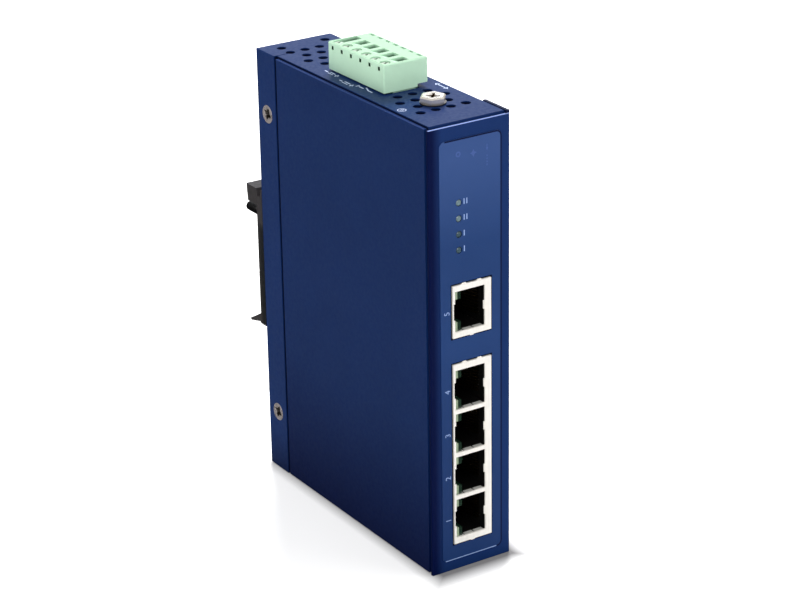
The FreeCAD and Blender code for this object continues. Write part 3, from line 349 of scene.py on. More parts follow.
def inside_depth_group() -> bpy.types.NodeTree:
    """Build a measure of how deep a point lies inside a box, in millimetres.

    Returns:
        The node group.
    """
    group = bpy.data.node_groups.new("inside_depth", "ShaderNodeTree")
    for label in ("Centre", "Half"):
        group.interface.new_socket(label, in_out="INPUT", socket_type="NodeSocketVector")
    group.interface.new_socket("Depth", in_out="OUTPUT", socket_type="NodeSocketFloat")
    graph = Graph(group)
    given, out = graph.node("NodeGroupInput"), graph.node("NodeGroupOutput")
    place = graph.node("ShaderNodeTexCoord").outputs["Object"]
    place = graph.vector("SCALE", place, 1 / MM)
    away = graph.vector("ABSOLUTE", graph.vector("SUBTRACT", place, given.outputs["Centre"]))
    sides = graph.node("ShaderNodeSeparateXYZ")
    graph.feed(sides.inputs[0], graph.vector("SUBTRACT", given.outputs["Half"], away))
    nearest = graph.maths("MINIMUM", sides.outputs["X"], sides.outputs["Y"])
    graph.feed(out.inputs["Depth"], graph.maths("MINIMUM", nearest, sides.outputs["Z"]))
    return group


@dataclass(frozen=True)
class Shade:
    """A second colour that grows with the depth inside a box, in millimetres."""

    colour: Colour
    box: tuple[Spot, Spot]
    start: float = 0.0
    end: float = 1.0

    def blend(self, graph: Graph, base: object) -> bpy.types.NodeSocket:
        """Lay the shade over a colour.

        Args:
            graph: The material's graph.
            base: The colour under the shade, or the socket that gives it.

        Returns:
            The shaded colour.
        """
        tree = bpy.data.node_groups.get("inside_depth") or inside_depth_group()
        measure = graph.node("ShaderNodeGroup", node_tree=tree)
        sides = list(zip(*self.box))
        measure.inputs["Centre"].default_value = [(low + high) / 2 for low, high in sides]
        measure.inputs["Half"].default_value = [(high - low) / 2 for low, high in sides]
        amount = graph.spread(measure.outputs["Depth"], 0.0, 1.0, self.start, self.end)
        return graph.mix(amount, base, (*self.colour, 1.0))


@dataclass(frozen=True)
class Finish:
    """What every finish has: a colour, a roughness and a relief."""

    name: str
    colour: Colour
    roughness: float = 0.4
    play: float = 0.05
    relief: float = 0.05
    relief_size: float = 0.02
    metallic: float = 0.0
    specular: float = 0.5
    coat: float = 0.0
    coat_roughness: float = 0.12
    shades: tuple[Shade, ...] = ()

    def group(self) -> bpy.types.NodeTree:
        """Return the node group that gives the surface its texture."""
        raise NotImplementedError

    def settings(self) -> dict[str, object]:
        """Return the group inputs of this finish."""
        return {"Roughness": self.roughness, "Roughness Play": self.play}

    def material(self) -> bpy.types.Material:
        """Build the material, or return it if it was built before.

        Returns:
            The finished material.
        """
        known = bpy.data.materials.get(self.name)
        if known:
            return known
        made = bpy.data.materials.new(self.name)
        made.use_nodes = True
        graph = Graph(made.node_tree)
        texture = graph.node("ShaderNodeGroup", node_tree=self.group())
        texture.inputs["Colour"].default_value = (*self.colour, 1.0)
        for label, value in self.settings().items():
            texture.inputs[label].default_value = value
        shader = graph.node("ShaderNodeBsdfPrincipled")
        for label, value in (("Metallic", self.metallic), ("Specular IOR Level", self.specular),
                             ("Coat Weight", self.coat), ("Coat Roughness", self.coat_roughness)):
            shader.inputs[label].default_value = value
        colour = texture.outputs["Colour"]
        for shade in self.shades:
            colour = shade.blend(graph, colour)
        graph.feed(shader.inputs["Base Color"], colour)
        graph.feed(shader.inputs["Roughness"], texture.outputs["Roughness"])
        bump = graph.node("ShaderNodeBump")
        bump.inputs["Strength"].default_value = self.relief
        bump.inputs["Distance"].default_value = self.relief_size * MM
        graph.feed(bump.inputs["Height"], texture.outputs["Height"])
        graph.feed(shader.inputs["Normal"], bump.outputs["Normal"])
        out = graph.node("ShaderNodeOutputMaterial")
        graph.feed(out.inputs["Surface"], shader.outputs["BSDF"])
        made.diffuse_color = (*self.colour, 1.0)
        return made


@dataclass(frozen=True)
class PowderCoat(Finish):
    """Baked paint on sheet metal, or printed ink and film."""

    grain: float = 1.0
    tone: float = 0.05

    def group(self) -> bpy.types.NodeTree:
        """Return the powder coat's texture."""
        return bpy.data.node_groups.get("powder_coat") or powder_coat_group()

    def settings(self) -> dict[str, object]:
        """Return the group inputs of this finish."""
        return {**super().settings(), "Grain": self.grain, "Tone": self.tone}


@dataclass(frozen=True)
class Moulded(Finish):
    """Moulded plastic."""

    relief: float = 0.1
    grain: float = 1.0
    flow: float = 0.05

    def group(self) -> bpy.types.NodeTree:
        """Return the moulding's texture."""
        return bpy.data.node_groups.get("moulded_skin") or moulded_skin_group()

    def settings(self) -> dict[str, object]:
        """Return the group inputs of this finish."""
        return {**super().settings(), "Grain": self.grain, "Flow": self.flow}


@dataclass(frozen=True)
class Drawn(Finish):
    """Bare or plated metal."""

    play: float = 0.08
    relief: float = 0.08
    relief_size: float = 0.01
    metallic: float = 1.0
    lines: float = 0.12
    run: Axis = Axis.NONE

    def group(self) -> bpy.types.NodeTree:
        """Return the metal's texture."""
        return bpy.data.node_groups.get("drawn_metal") or drawn_metal_group()

    def settings(self) -> dict[str, object]:
        """Return the group inputs of this finish."""
        return {**super().settings(), "Line Depth": self.lines, "Stretch": self.run.value}


# The faces that the shades and the print keep to, in millimetres; FAR lies past the object
PANEL_LOW, PANEL_HIGH = corners("front_panel")
CHASSIS_LOW, CHASSIS_HIGH = corners("chassis")
PLUG_LOW, PLUG_HIGH = corners("terminal_plug")
LABEL_LOW, LABEL_HIGH = corners("front_label")
LEFT, RIGHT = PANEL_LOW.x, PANEL_HIGH.x
FRONT, BACK = PANEL_LOW.y, CHASSIS_HIGH.y
TOP = CHASSIS_HIGH.z
FAR = 300.0
ALL: Pair = (-FAR, FAR)


def box(x: Pair = ALL, y: Pair = ALL, z: Pair = ALL) -> tuple[Spot, Spot]:
    """Give a box's lowest and highest corners.

    Args:
        x: Where it starts and ends across the width.
        y: Where it starts and ends from the front to the back.
        z: Where it starts and ends up the height.

    Returns:
        The two corners, in millimetres.
    """
    return (x[0], y[0], z[0]), (x[1], y[1], z[1])


# In the housing: painted shade past the seams, inside and towards the foot, painted highlights
# along the top edges, and a painted contact shadow on the floor
# Painted shade: the dark given to the seams, hole walls and inner faces
PAINTED_HOUSING_SHADE = screen(4, 10, 38)
# Painted shade on all that lies deeper than a millimetre in the housing
SHADE_IN_HOUSING = Shade(PAINTED_HOUSING_SHADE, box(x=(LEFT, RIGHT), y=(FRONT, BACK), z=(0.0, TOP)),
                   start=0.5, end=1.05)
# Painted shade down the chassis' holes and on its inner faces and cut edges
SHADE_IN_CHASSIS = Shade(PAINTED_HOUSING_SHADE, (tuple(CHASSIS_LOW), tuple(CHASSIS_HIGH)), start=0.15, end=0.45)
# Painted shade on the cover's inner faces and in the seam behind it
SHADE_BEHIND_COVER = Shade(PAINTED_HOUSING_SHADE, box(x=(LEFT, FAR)), start=1.02, end=1.08)
# Painted shade behind the front panel and on its inner flange
SHADE_BEHIND_PANEL = Shade(PAINTED_HOUSING_SHADE, box(x=(LEFT, RIGHT), y=(FRONT, FAR), z=(0.0, PANEL_HIGH.z)),
                     start=0.3, end=1.0)
# Painted highlight along the cover's top edge
COVER_EDGE_HIGHLIGHT = Shade(screen(34, 56, 106), box(z=(PANEL_HIGH.z - 0.25, FAR)), end=0.1)
# Painted highlight along the front half of the panel's top edge
PANEL_EDGE_HIGHLIGHT = Shade(screen(134, 152, 206),
                    box(y=(-FAR, FRONT + 0.45), z=(PANEL_HIGH.z - 0.2, FAR)), end=0.08)
# Painted shade, darker towards the foot of the cover
COVER_FOOT_SHADE = Shade(screen(0, 15, 60), box(z=(-FAR, 46.0)), end=48.0)
# Painted shade, darker towards the foot of the chassis
CHASSIS_FOOT_SHADE = Shade(screen(6, 26, 66), box(z=(-FAR, 14.0)), end=16.0)
# Painted shade on the panel's left margin
PANEL_MARGIN_SHADE = Shade(screen(0, 12, 56), box(x=(-FAR, LEFT + 4.5)), end=3.2)
CONTACT_SHADOW = Shade(screen(118, 117, 118),
                       box(x=(LEFT - 3.8, RIGHT + 7.0), y=(FRONT - 8.0, BACK + 3.0)), end=6.5)

# In the fittings: painted shade down the holes, in the gaps and screw recesses, under the earth
# screw, on the clip's spine, on the sockets' lips and on the plug's top; the lamps are darker on
# their right, the lower lights darker, and the film lighter towards the top and darker towards the
# bottom
# Painted shade down the cover screws' cross recesses
SHADE_IN_SUNK_HEAD = Shade(screen(24, 18, 12), box(x=(LEFT + 0.04, FAR)), end=0.25)
# Painted shadow under the earth screw's head, on its washer and lower flanks
SHADOW_UNDER_EARTH_SCREW = Shade(screen(18, 20, 40), box(z=(-FAR, TOP + 1.1)), end=0.9)
GROUND_Y, GROUND_REACH = -29.2, 2.6
# Painted shade, brownish, down the earth screw's cross recess
SHADE_IN_EARTH_RECESS = Shade(screen(84, 62, 36),
                  box(x=(-GROUND_REACH, GROUND_REACH),
                      y=(GROUND_Y - GROUND_REACH, GROUND_Y + GROUND_REACH),
                      z=(-FAR, TOP + 2.22)), end=0.12)
# Painted shade on the clip's spine, below its ear
CLIP_SPINE_SHADE = Shade(screen(24, 25, 26), box(y=(-FAR, BACK + 3.5), z=(-FAR, 83.0)), end=2.0)
PLUG_BOX = box(x=(PLUG_LOW.x, PLUG_HIGH.x), y=(PLUG_LOW.y, PLUG_HIGH.y), z=(120.0, PLUG_HIGH.z))
# Painted shade down the plug's wells and slots, darkest deep inside
SHADE_IN_PLUG = Shade(screen(34, 92, 58), PLUG_BOX, start=0.2, end=1.2)
DEEP_SHADE_IN_PLUG = Shade(screen(10, 34, 21), PLUG_BOX, start=1.8, end=4.0)
# Painted shade in the test holes on the plug's left face
SHADE_IN_TEST_HOLES = Shade(screen(16, 56, 36),
                   box(x=(PLUG_LOW.x + 0.07, -4.0), y=(PLUG_LOW.y + 0.16, PLUG_HIGH.y - 0.16),
                       z=(145.5, 149.2)), end=0.12)
# Painted shade: the plug's top face is given its own tone, darker than its sides
PLUG_TOP_SHADE = Shade(screen(168, 203, 174), box(z=(PLUG_HIGH.z - 0.1, FAR)), end=0.08)
# Painted shade on the shield's lips inside the socket mouths
SOCKET_LIP_SHADE = Shade(screen(190, 190, 184), box(x=(-5.8, 4.4), y=(FRONT - 0.08, FAR)), end=0.1)
MOUTH_SIDES, GANG_SPAN, UPLINK_SPAN = (-6.24, 6.76), (8.9, 67.0), (75.8, 91.65)
# Painted shade on the shield's outer walls, seen in the gaps round the openings
SOCKET_GAP_SHADES = tuple(
    Shade(screen(10, 12, 20), box(y=(FRONT + 0.05, FAR), **outside), start=0.02, end=0.12)
    for outside in ({"x": (-FAR, MOUTH_SIDES[0])}, {"x": (MOUTH_SIDES[1], FAR)},
                    {"z": (-FAR, GANG_SPAN[0])}, {"z": (GANG_SPAN[1], UPLINK_SPAN[0])},
                    {"z": (UPLINK_SPAN[1], FAR)}))
LAMP_FIELD = Shade(screen(22, 44, 31), box(x=(-4.55, 4.0), z=(0.0, TOP)), end=0.25)
PIPE_LOW = Shade(screen(58, 78, 86), box(z=(90.0, 110.0)), end=0.5)
FILM_FOOT = Shade(screen(22, 50, 99), box(z=(-FAR, 80.0)), end=60.0)
FILM_HEAD = Shade(screen(48, 74, 126), box(z=(104.0, FAR)), end=26.0)

NAVY = PowderCoat("navy_coat", screen(17, 43, 92), roughness=0.44, relief=0.12, specular=0.16,
                  shades=(CHASSIS_FOOT_SHADE, SHADE_IN_CHASSIS))
COVER_COAT = replace(NAVY, name="cover_coat", colour=screen(14, 40, 88),
                     shades=(COVER_FOOT_SHADE, SHADE_BEHIND_COVER, COVER_EDGE_HIGHLIGHT))
FLANGE_COAT = replace(NAVY, name="flange_coat", colour=screen(8, 20, 56), shades=())
PANEL_COAT = replace(NAVY, name="panel_coat", specular=0.08,
                     shades=(PANEL_MARGIN_SHADE, SHADE_BEHIND_PANEL, PANEL_EDGE_HIGHLIGHT))
LABEL = PowderCoat("blue_film", screen(28, 57, 107), roughness=0.36, relief=0.06,
                   relief_size=0.01, specular=0.2, grain=1.6, tone=0.07,
                   shades=(FILM_HEAD, FILM_FOOT))
INK = PowderCoat("printed_ink", screen(196, 208, 238), roughness=0.5, play=0.04,
                 relief_size=0.01, specular=0.3)
SMALL_INK = replace(INK, name="small_ink", colour=screen(134, 158, 206))
FAINT_INK = replace(INK, name="faint_ink", colour=screen(60, 84, 142), specular=0.2)
# Painted shadow of the film's edge, laid as a dark band
RIM_SHADOW = replace(INK, name="painted_rim_shadow", colour=screen(8, 18, 54), specular=0.1)
# Painted shade of the gap round the socket windows, laid as a dark band
GAP_SHADE = replace(INK, name="painted_gap_shade", colour=screen(6, 10, 26), specular=0.05)
CLIP = PowderCoat("clip_anodised", screen(54, 51, 52), roughness=0.46, play=0.06, relief=0.16,
                  relief_size=0.03, specular=0.3, shades=(CLIP_SPINE_SHADE,))
BOARD = PowderCoat("solder_mask", screen(26, 84, 50), roughness=0.34, relief=0.1,
                   relief_size=0.01, tone=0.08)
PLUG_GREEN = Moulded("plug_green", screen(190, 228, 199), roughness=0.5, play=0.06, relief=0.12,
                     specular=0.35, flow=0.03,
                     shades=(PLUG_TOP_SHADE, SHADE_IN_PLUG, DEEP_SHADE_IN_PLUG, SHADE_IN_TEST_HOLES))
HEADER_GREEN = Moulded("header_green", screen(120, 170, 132), roughness=0.5,
                       shades=(SHADE_IN_HOUSING,))
SOCKET_BLACK = Moulded("socket_black", screen(10, 9, 9), roughness=0.42, specular=0.2)
LENS = Moulded("lamp_lens", screen(146, 162, 134), roughness=0.22, play=0.03, relief=0.04,
               relief_size=0.01, specular=0.4, coat=0.2, shades=(LAMP_FIELD,))
PIPE = replace(LENS, name="light_pipe", colour=screen(98, 118, 124), roughness=0.2,
               shades=(PIPE_LOW,))
FOOT = Moulded("dipped_cap", screen(5, 5, 6), play=0.04, relief=0.03, specular=0.12, coat=0.04)
PACKAGE = Moulded("chip_package", screen(30, 30, 32), roughness=0.55, relief=0.15)
SHIELD = Drawn("shield_plate", screen(247, 243, 236), metallic=0.2, lines=0.04, run=Axis.Z,
               shades=(*SOCKET_GAP_SHADES, SOCKET_LIP_SHADE))
# Painted shade: the gold contacts are given a dark tone, as they lie in the sockets' shade
SHADED_CONTACT = Drawn("shaded_contact_gold", screen(60, 48, 30), roughness=0.35, relief=0.05, lines=0.06,
                run=Axis.Y)
SCREW = Drawn("zinc_screw", screen(214, 204, 200), roughness=0.3, play=0.1, relief=0.12,
              metallic=0.6, lines=0.1)
SUNK_HEAD = replace(SCREW, name="sunk_head_zinc", colour=screen(188, 178, 176),
                    shades=(SHADE_IN_SUNK_HEAD,))
CLAMP_SCREW = Drawn("clamp_screw_plate", screen(214, 222, 212), metallic=0.6)
GROUND = Drawn("nickel_screw", screen(246, 238, 228), roughness=0.24, relief=0.06,
               metallic=0.7, lines=0.02, shades=(SHADOW_UNDER_EARTH_SCREW, SHADE_IN_EARTH_RECESS))
WIRE = Drawn("spring_wire", screen(120, 120, 124), roughness=0.35, relief=0.06, run=Axis.X)
TINNED = Drawn("tin_plate", screen(190, 190, 186), roughness=0.36, shades=(SHADE_IN_HOUSING,))
BARE = Drawn("raw_aluminium", screen(196, 198, 202), roughness=0.34, run=Axis.Z)


@dataclass(frozen=True)
class PhotographView:
    """The camera that the photograph's perspective gives, in degrees, millimetres and pixels."""

    azimuth: float = -32.371
    elevation: float = 22.568
    roll: float = -1.117
    distance: float = 790.46
    aim_height: float = 70.0
    focal_pixels: float = 2586.15
    centre_pixel: Pair = (382.19, 299.90)
    image_pixels: tuple[int, int] = (800, 600)
    sensor: float = 36.0
    near: float = 10.0

    def build(self) -> None:
        """Make the camera and set it as the scene's."""
        turn = math.radians(self.azimuth)
        tilt = math.radians(self.elevation)
        lean = math.radians(self.roll)
        back = Vector((math.sin(turn) * math.cos(tilt), -math.cos(turn) * math.cos(tilt),
                       math.sin(tilt)))
        right = Vector((math.cos(turn), math.sin(turn), 0.0))
        above = back.cross(right)
        across = right * math.cos(lean) + above * math.sin(lean)
        upward = above * math.cos(lean) - right * math.sin(lean)
        data = bpy.data.cameras.new("photograph_view")
        width, height = self.image_pixels
        data.sensor_width = self.sensor
        data.lens = self.sensor * self.focal_pixels / width
        data.shift_x = (width / 2 - self.centre_pixel[0]) / width
        data.shift_y = (self.centre_pixel[1] - height / 2) / width
        data.clip_start = self.near * MM
        camera = bpy.data.objects.new("photograph_view", data)
        bpy.context.scene.collection.objects.link(camera)
        eye = (Vector((0.0, 0.0, self.aim_height)) + back * self.distance) * MM
        camera.matrix_world = Matrix.Translation(eye) @ Matrix(
            (across, upward, back)).transposed().to_4x4()
        bpy.context.scene.camera = camera
        log.info("camera at %s", tuple(round(value, 3) for value in eye))


@dataclass(frozen=True)
class Softbox:
    """A rectangular light that points at the object's axis, in metres and watts."""

    name: str
    place: Spot
    aim_height: float
    size: Pair
    power: float
    colour: Colour = (1.0, 1.0, 1.0)
    in_gloss: bool = True
    in_matt: bool = True

    def hang(self) -> None:
        """Make the light."""
        data = bpy.data.lights.new(self.name, "AREA")
        data.shape = "RECTANGLE"
        data.size, data.size_y = self.size
        data.energy = self.power
        data.color = self.colour
        lamp = bpy.data.objects.new(self.name, data)
        lamp.location = self.place
        beam = Vector((0.0, 0.0, self.aim_height)) - Vector(self.place)
        lamp.rotation_euler = beam.to_track_quat("-Z", "Y").to_euler()
        lamp.visible_glossy = self.in_gloss
        lamp.visible_diffuse = self.in_matt
        bpy.context.scene.collection.objects.link(lamp)


@dataclass
class Studio:
    """A pale floor under soft lights, in metres."""

    floor_size: float = 8.0
    floor_drop: float = 0.0002
    floor_colour: Colour = (0.93, 0.93, 0.93)
    floor_glow: float = 0.33
    sky: float = 0.62
    ground: float = 0.1
    horizon: Pair = (-0.08, 0.25)
    lights: tuple[Softbox, ...] = (
        Softbox("key", (-1.2, -1.2, 1.5), 0.07, (1.3, 1.3), power=26.0),
        Softbox("fill", (1.4, -1.5, 0.9), 0.07, (1.2, 1.4), power=12.0),
        Softbox("crown", (0.9, 1.2, 1.5), 0.14, (0.7, 0.7), power=60.0, in_gloss=False),
        Softbox("sheen", (1.6, 2.5, 1.2), 0.14, (2.4, 1.1), power=8.9,
                colour=(0.84, 0.91, 1.0), in_matt=False))

    def build(self) -> None:
        """Make the floor, the world and the lights."""
        mesh = bpy.data.meshes.new("studio_floor")
        half = self.floor_size / 2
        mesh.from_pydata([(-half, -half, 0), (half, -half, 0), (half, half, 0), (-half, half, 0)],
                         [], [(0, 1, 2, 3)])
        mesh.materials.append(self.paper())
        floor = bpy.data.objects.new("studio_floor", mesh)
        floor.location.z = -self.floor_drop
        floor.visible_glossy = False
        bpy.context.scene.collection.objects.link(floor)
        self.light_world()
        for light in self.lights:
            light.hang()

    def paper(self) -> bpy.types.Material:
        """Make the floor's paper, which glows a little for the camera.

        Returns:
            The floor's material.
        """
        paper = bpy.data.materials.new("studio_paper")
        paper.use_nodes = True
        graph = Graph(paper.node_tree)
        shader = graph.node("ShaderNodeBsdfDiffuse")
        # Painted contact shadow round the housing's foot, on the paper and on its glow
        graph.feed(shader.inputs["Color"],
                   CONTACT_SHADOW.blend(graph, (*self.floor_colour, 1.0)))
        glow = graph.node("ShaderNodeEmission")
        graph.feed(glow.inputs["Color"], CONTACT_SHADOW.blend(graph, (1.0, 1.0, 1.0, 1.0)))
        seen = graph.node("ShaderNodeLightPath").outputs["Is Camera Ray"]
        graph.feed(glow.inputs["Strength"], graph.maths("MULTIPLY", seen, self.floor_glow))
        both = graph.node("ShaderNodeAddShader")
        graph.feed(both.inputs[0], shader.outputs["BSDF"])
        graph.feed(both.inputs[1], glow.outputs["Emission"])
        out = graph.node("ShaderNodeOutputMaterial")
        graph.feed(out.inputs["Surface"], both.outputs["Shader"])
        return paper

    def light_world(self) -> None:
        """Make a world that is bright above the horizon and dim below it."""
        world = bpy.data.worlds.new("studio_air")
        bpy.context.scene.world = world
        world.use_nodes = True
        graph = Graph(world.node_tree)
        split = graph.node("ShaderNodeSeparateXYZ")
        graph.feed(split.inputs[0], graph.node("ShaderNodeTexCoord").outputs["Generated"])
        bright = graph.spread(split.outputs["Z"], self.ground, self.sky, *self.horizon)
        shade = graph.node("ShaderNodeBackground")
        graph.feed(shade.inputs["Strength"], bright)
        out = graph.node("ShaderNodeOutputWorld")
        graph.feed(out.inputs["Surface"], shade.outputs[0])


BEVEL_STEPS = 2
SHARP_ANGLE = math.radians(40)


def dress(finish: Finish, *nodes: str, edge: float = 0.0) -> None:
    """Give CAD nodes a finish and, where asked, softly broken edges.

    Args:
        finish: The finish to use.
        *nodes: The nodes' names.
        edge: The width of the broken edges in millimetres, or none.
    """
    for name in nodes:
        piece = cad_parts[name]
        for slot in piece.material_slots:
            slot.material = finish.material()
        if not piece.material_slots:
            piece.data.materials.append(finish.material())
        if edge:
            bevel = piece.modifiers.new("broken_edges", "BEVEL")
            bevel.width = edge * MM
            bevel.segments = BEVEL_STEPS
            bevel.limit_method = "ANGLE"
            bevel.angle_limit = SHARP_ANGLE
        log.info("dressed %s with %s", name, finish.name)


def flat_mesh(shape: bmesh.types.BMesh) -> bpy.types.Mesh:
    """Turn a shape into a mesh with flat faces.

    Args:
        shape: The shape, in metres, which is freed.

    Returns:
        The mesh.
    """
    bmesh.ops.recalc_face_normals(shape, faces=shape.faces)
    mesh = bpy.data.meshes.new("flat_mesh")
    shape.to_mesh(mesh)
    shape.free()
    for face in mesh.polygons:
        face.use_smooth = False
    return mesh


def add_piece(name: str, mesh: bpy.types.Mesh, finish: Finish) -> bpy.types.Object:
    """Turn a mesh into a piece that rides on the housing.

    Args:
        name: The piece's name.
        mesh: Its mesh, in metres.
        finish: Its finish.

    Returns:
        The new piece.
    """
    mesh.name = name
    mesh.materials.clear()
    mesh.materials.append(finish.material())
    piece = bpy.data.objects.new(name, mesh)
    bpy.context.scene.collection.objects.link(piece)
    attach(piece, "root")
    log.info("built %s with %d faces", name, len(mesh.polygons))
    return piece


def add_slab(shape: bmesh.types.BMesh, outline: list[Pair], face: Face, low: float,
             high: float) -> None:
    """Add a prism of an outline, in millimetres.

    Args:
        shape: The mesh to add to.
        outline: The outline's corners, across and up the face.
        face: The face that it lies on.
        low: Where it starts along the face's depth.
        high: Where it ends.
    """
    near, far = (
        [shape.verts.new(Vector([(*corner, depth)[part] for part in face.value]) * MM)
         for corner in outline] for depth in (low, high))
    shape.faces.new(near)
    shape.faces.new(list(reversed(far)))
    for index in range(len(outline)):
        after = (index + 1) % len(outline)
        shape.faces.new((near[index], far[index], far[after], near[after]))


class Print:
    """Ink under construction on one face of the object, in millimetres."""

    THICKNESS = 0.02

    def __init__(self, face: Face, low: float) -> None:
        """Start an empty print.

        Args:
            face: The face that is printed on.
            low: Where the ink starts along the face's depth.
        """
        self.shape = bmesh.new()
        self.face = face
        self.low = low

    def patch(self, *outline: Pair) -> None:
        """Print a patch between its corners."""
        add_slab(self.shape, list(outline), self.face, self.low, self.low + self.THICKNESS)

    def stroke(self, centre: Pair, width: float, height: float) -> None:
        """Print a rectangle.

        Args:
            centre: Its centre.
            width: Its size across the face.
            height: Its size up the face.
        """
        x, y = centre
        across, up = width / 2, height / 2
        self.patch((x - across, y - up), (x + across, y - up), (x + across, y + up),
                   (x - across, y + up))

    def band(self, outer: list[Pair], inner: list[Pair]) -> None:
        """Print the band between two lines that have the same number of points.

        Args:
            outer: The line on the outside.
            inner: The line on the inside.
        """
        for index in range(len(outer) - 1):
            self.patch(outer[index], outer[index + 1], inner[index + 1], inner[index])

    def ring(self, centre: Pair, outer: float, inner: float, sides: int) -> None:
        """Print a round ring.

        Args:
            centre: Its centre.
            outer: Its outer radius.
            inner: Its inner radius.
            sides: How many flat sides it is made of.
        """
        turns = [2 * math.pi * (step % sides) / sides for step in range(sides + 1)]
        lines = [[(centre[0] + radius * math.cos(turn), centre[1] + radius * math.sin(turn))
                  for turn in turns] for radius in (outer, inner)]
        self.band(*lines)

    def lay(self, name: str, ink: Finish) -> None:
        """Turn the print into a piece.

        Args:
            name: The piece's name.
            ink: Its ink.
        """
        add_piece(name, flat_mesh(self.shape), ink)


@dataclass
class CoverScrews:
    """The two sunk screws of the cover, each with a deep cross recess, in millimetres."""

    shank: float = 1.4
    rim_round: float = 0.1
    rim_width: float = 0.42
    throat: float = 1.2
    throat_arms: float = 0.85
    floor: float = 0.8
    floor_arms: float = 0.5
    depth: float = 0.9
    lean: float = 20.0
    sides: int = 48

    def build(self) -> None:
        """Build both heads where the solids have theirs."""
        low, high = corners("cover_screws")
        rim = (high.y - low.y) / 2
        middle = (high.y + low.y) / 2
        shape = bmesh.new()
        for height in (low.z + rim, high.z - rim):
            rings = [
                self.ring(shape, (low.x + depth, middle, height), radius, arms)
                for radius, depth, arms in (
                    (self.shank, high.x - low.x, 0.0), (self.shank, rim - self.shank, 0.0),
                    (rim, self.rim_round, 0.0), (rim - self.rim_round, 0.0, 0.0),
                    (rim - self.rim_width, 0.0, 0.0),
                    (self.throat, self.rim_round, self.throat_arms),
                    (self.floor, self.depth, self.floor_arms))]
            for first, second in zip(rings, rings[1:]):
                for step in range(self.sides):
                    after = (step + 1) % self.sides
                    shape.faces.new((first[step], first[after], second[after], second[step]))
            shape.faces.new(rings[-1])
            shape.faces.new(list(reversed(rings[0])))
        heads = add_piece("cover_screw_heads", flat_mesh(shape), SUNK_HEAD)
        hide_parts("cover_screws")

    def ring(self, shape: bmesh.types.BMesh, centre: Spot, radius: float,
             arms: float) -> list[bmesh.types.BMVert]:
        """Add one ring of a screw's section, round or drawn out to a cross.

        Args:
            shape: The mesh to add to.
            centre: The ring's centre.
            radius: Its radius between the arms of the cross.
            arms: How much further the arms reach.

        Returns:
            The ring's corners.
        """
        made = []
        for step in range(self.sides):
            turn = 2 * math.pi * step / self.sides
            reach = radius + arms * abs(math.cos(2 * turn)) ** 3
            turn += math.radians(self.lean)
            spot = (centre[0], centre[1] + reach * math.cos(turn),
                    centre[2] + reach * math.sin(turn))
            made.append(shape.verts.new(Vector(spot) * MM))
        return made


@dataclass
class FlangeEdge:
    """The top edge of the front panel's right flange, which stands past the top sheet."""

    thickness: float = 0.98
    setback: float = 0.2
    corner: float = 0.2
    gap: float = 0.02
    stand: float = 0.16

    def build(self) -> None:
        """Build the edge from the panel's top up, as deep as the flange."""
        inner, front, rear = RIGHT - self.thickness, FRONT + self.setback, PANEL_HIGH.y
        outline = [(inner, front), (RIGHT, front), (RIGHT, rear - self.corner),
                   (RIGHT - self.corner, rear), (inner, rear)]
        shape = bmesh.new()
        add_slab(shape, outline, Face.TOP, PANEL_HIGH.z + self.gap, TOP + self.stand)
        add_piece("panel_flange_edge", flat_mesh(shape), FLANGE_COAT)


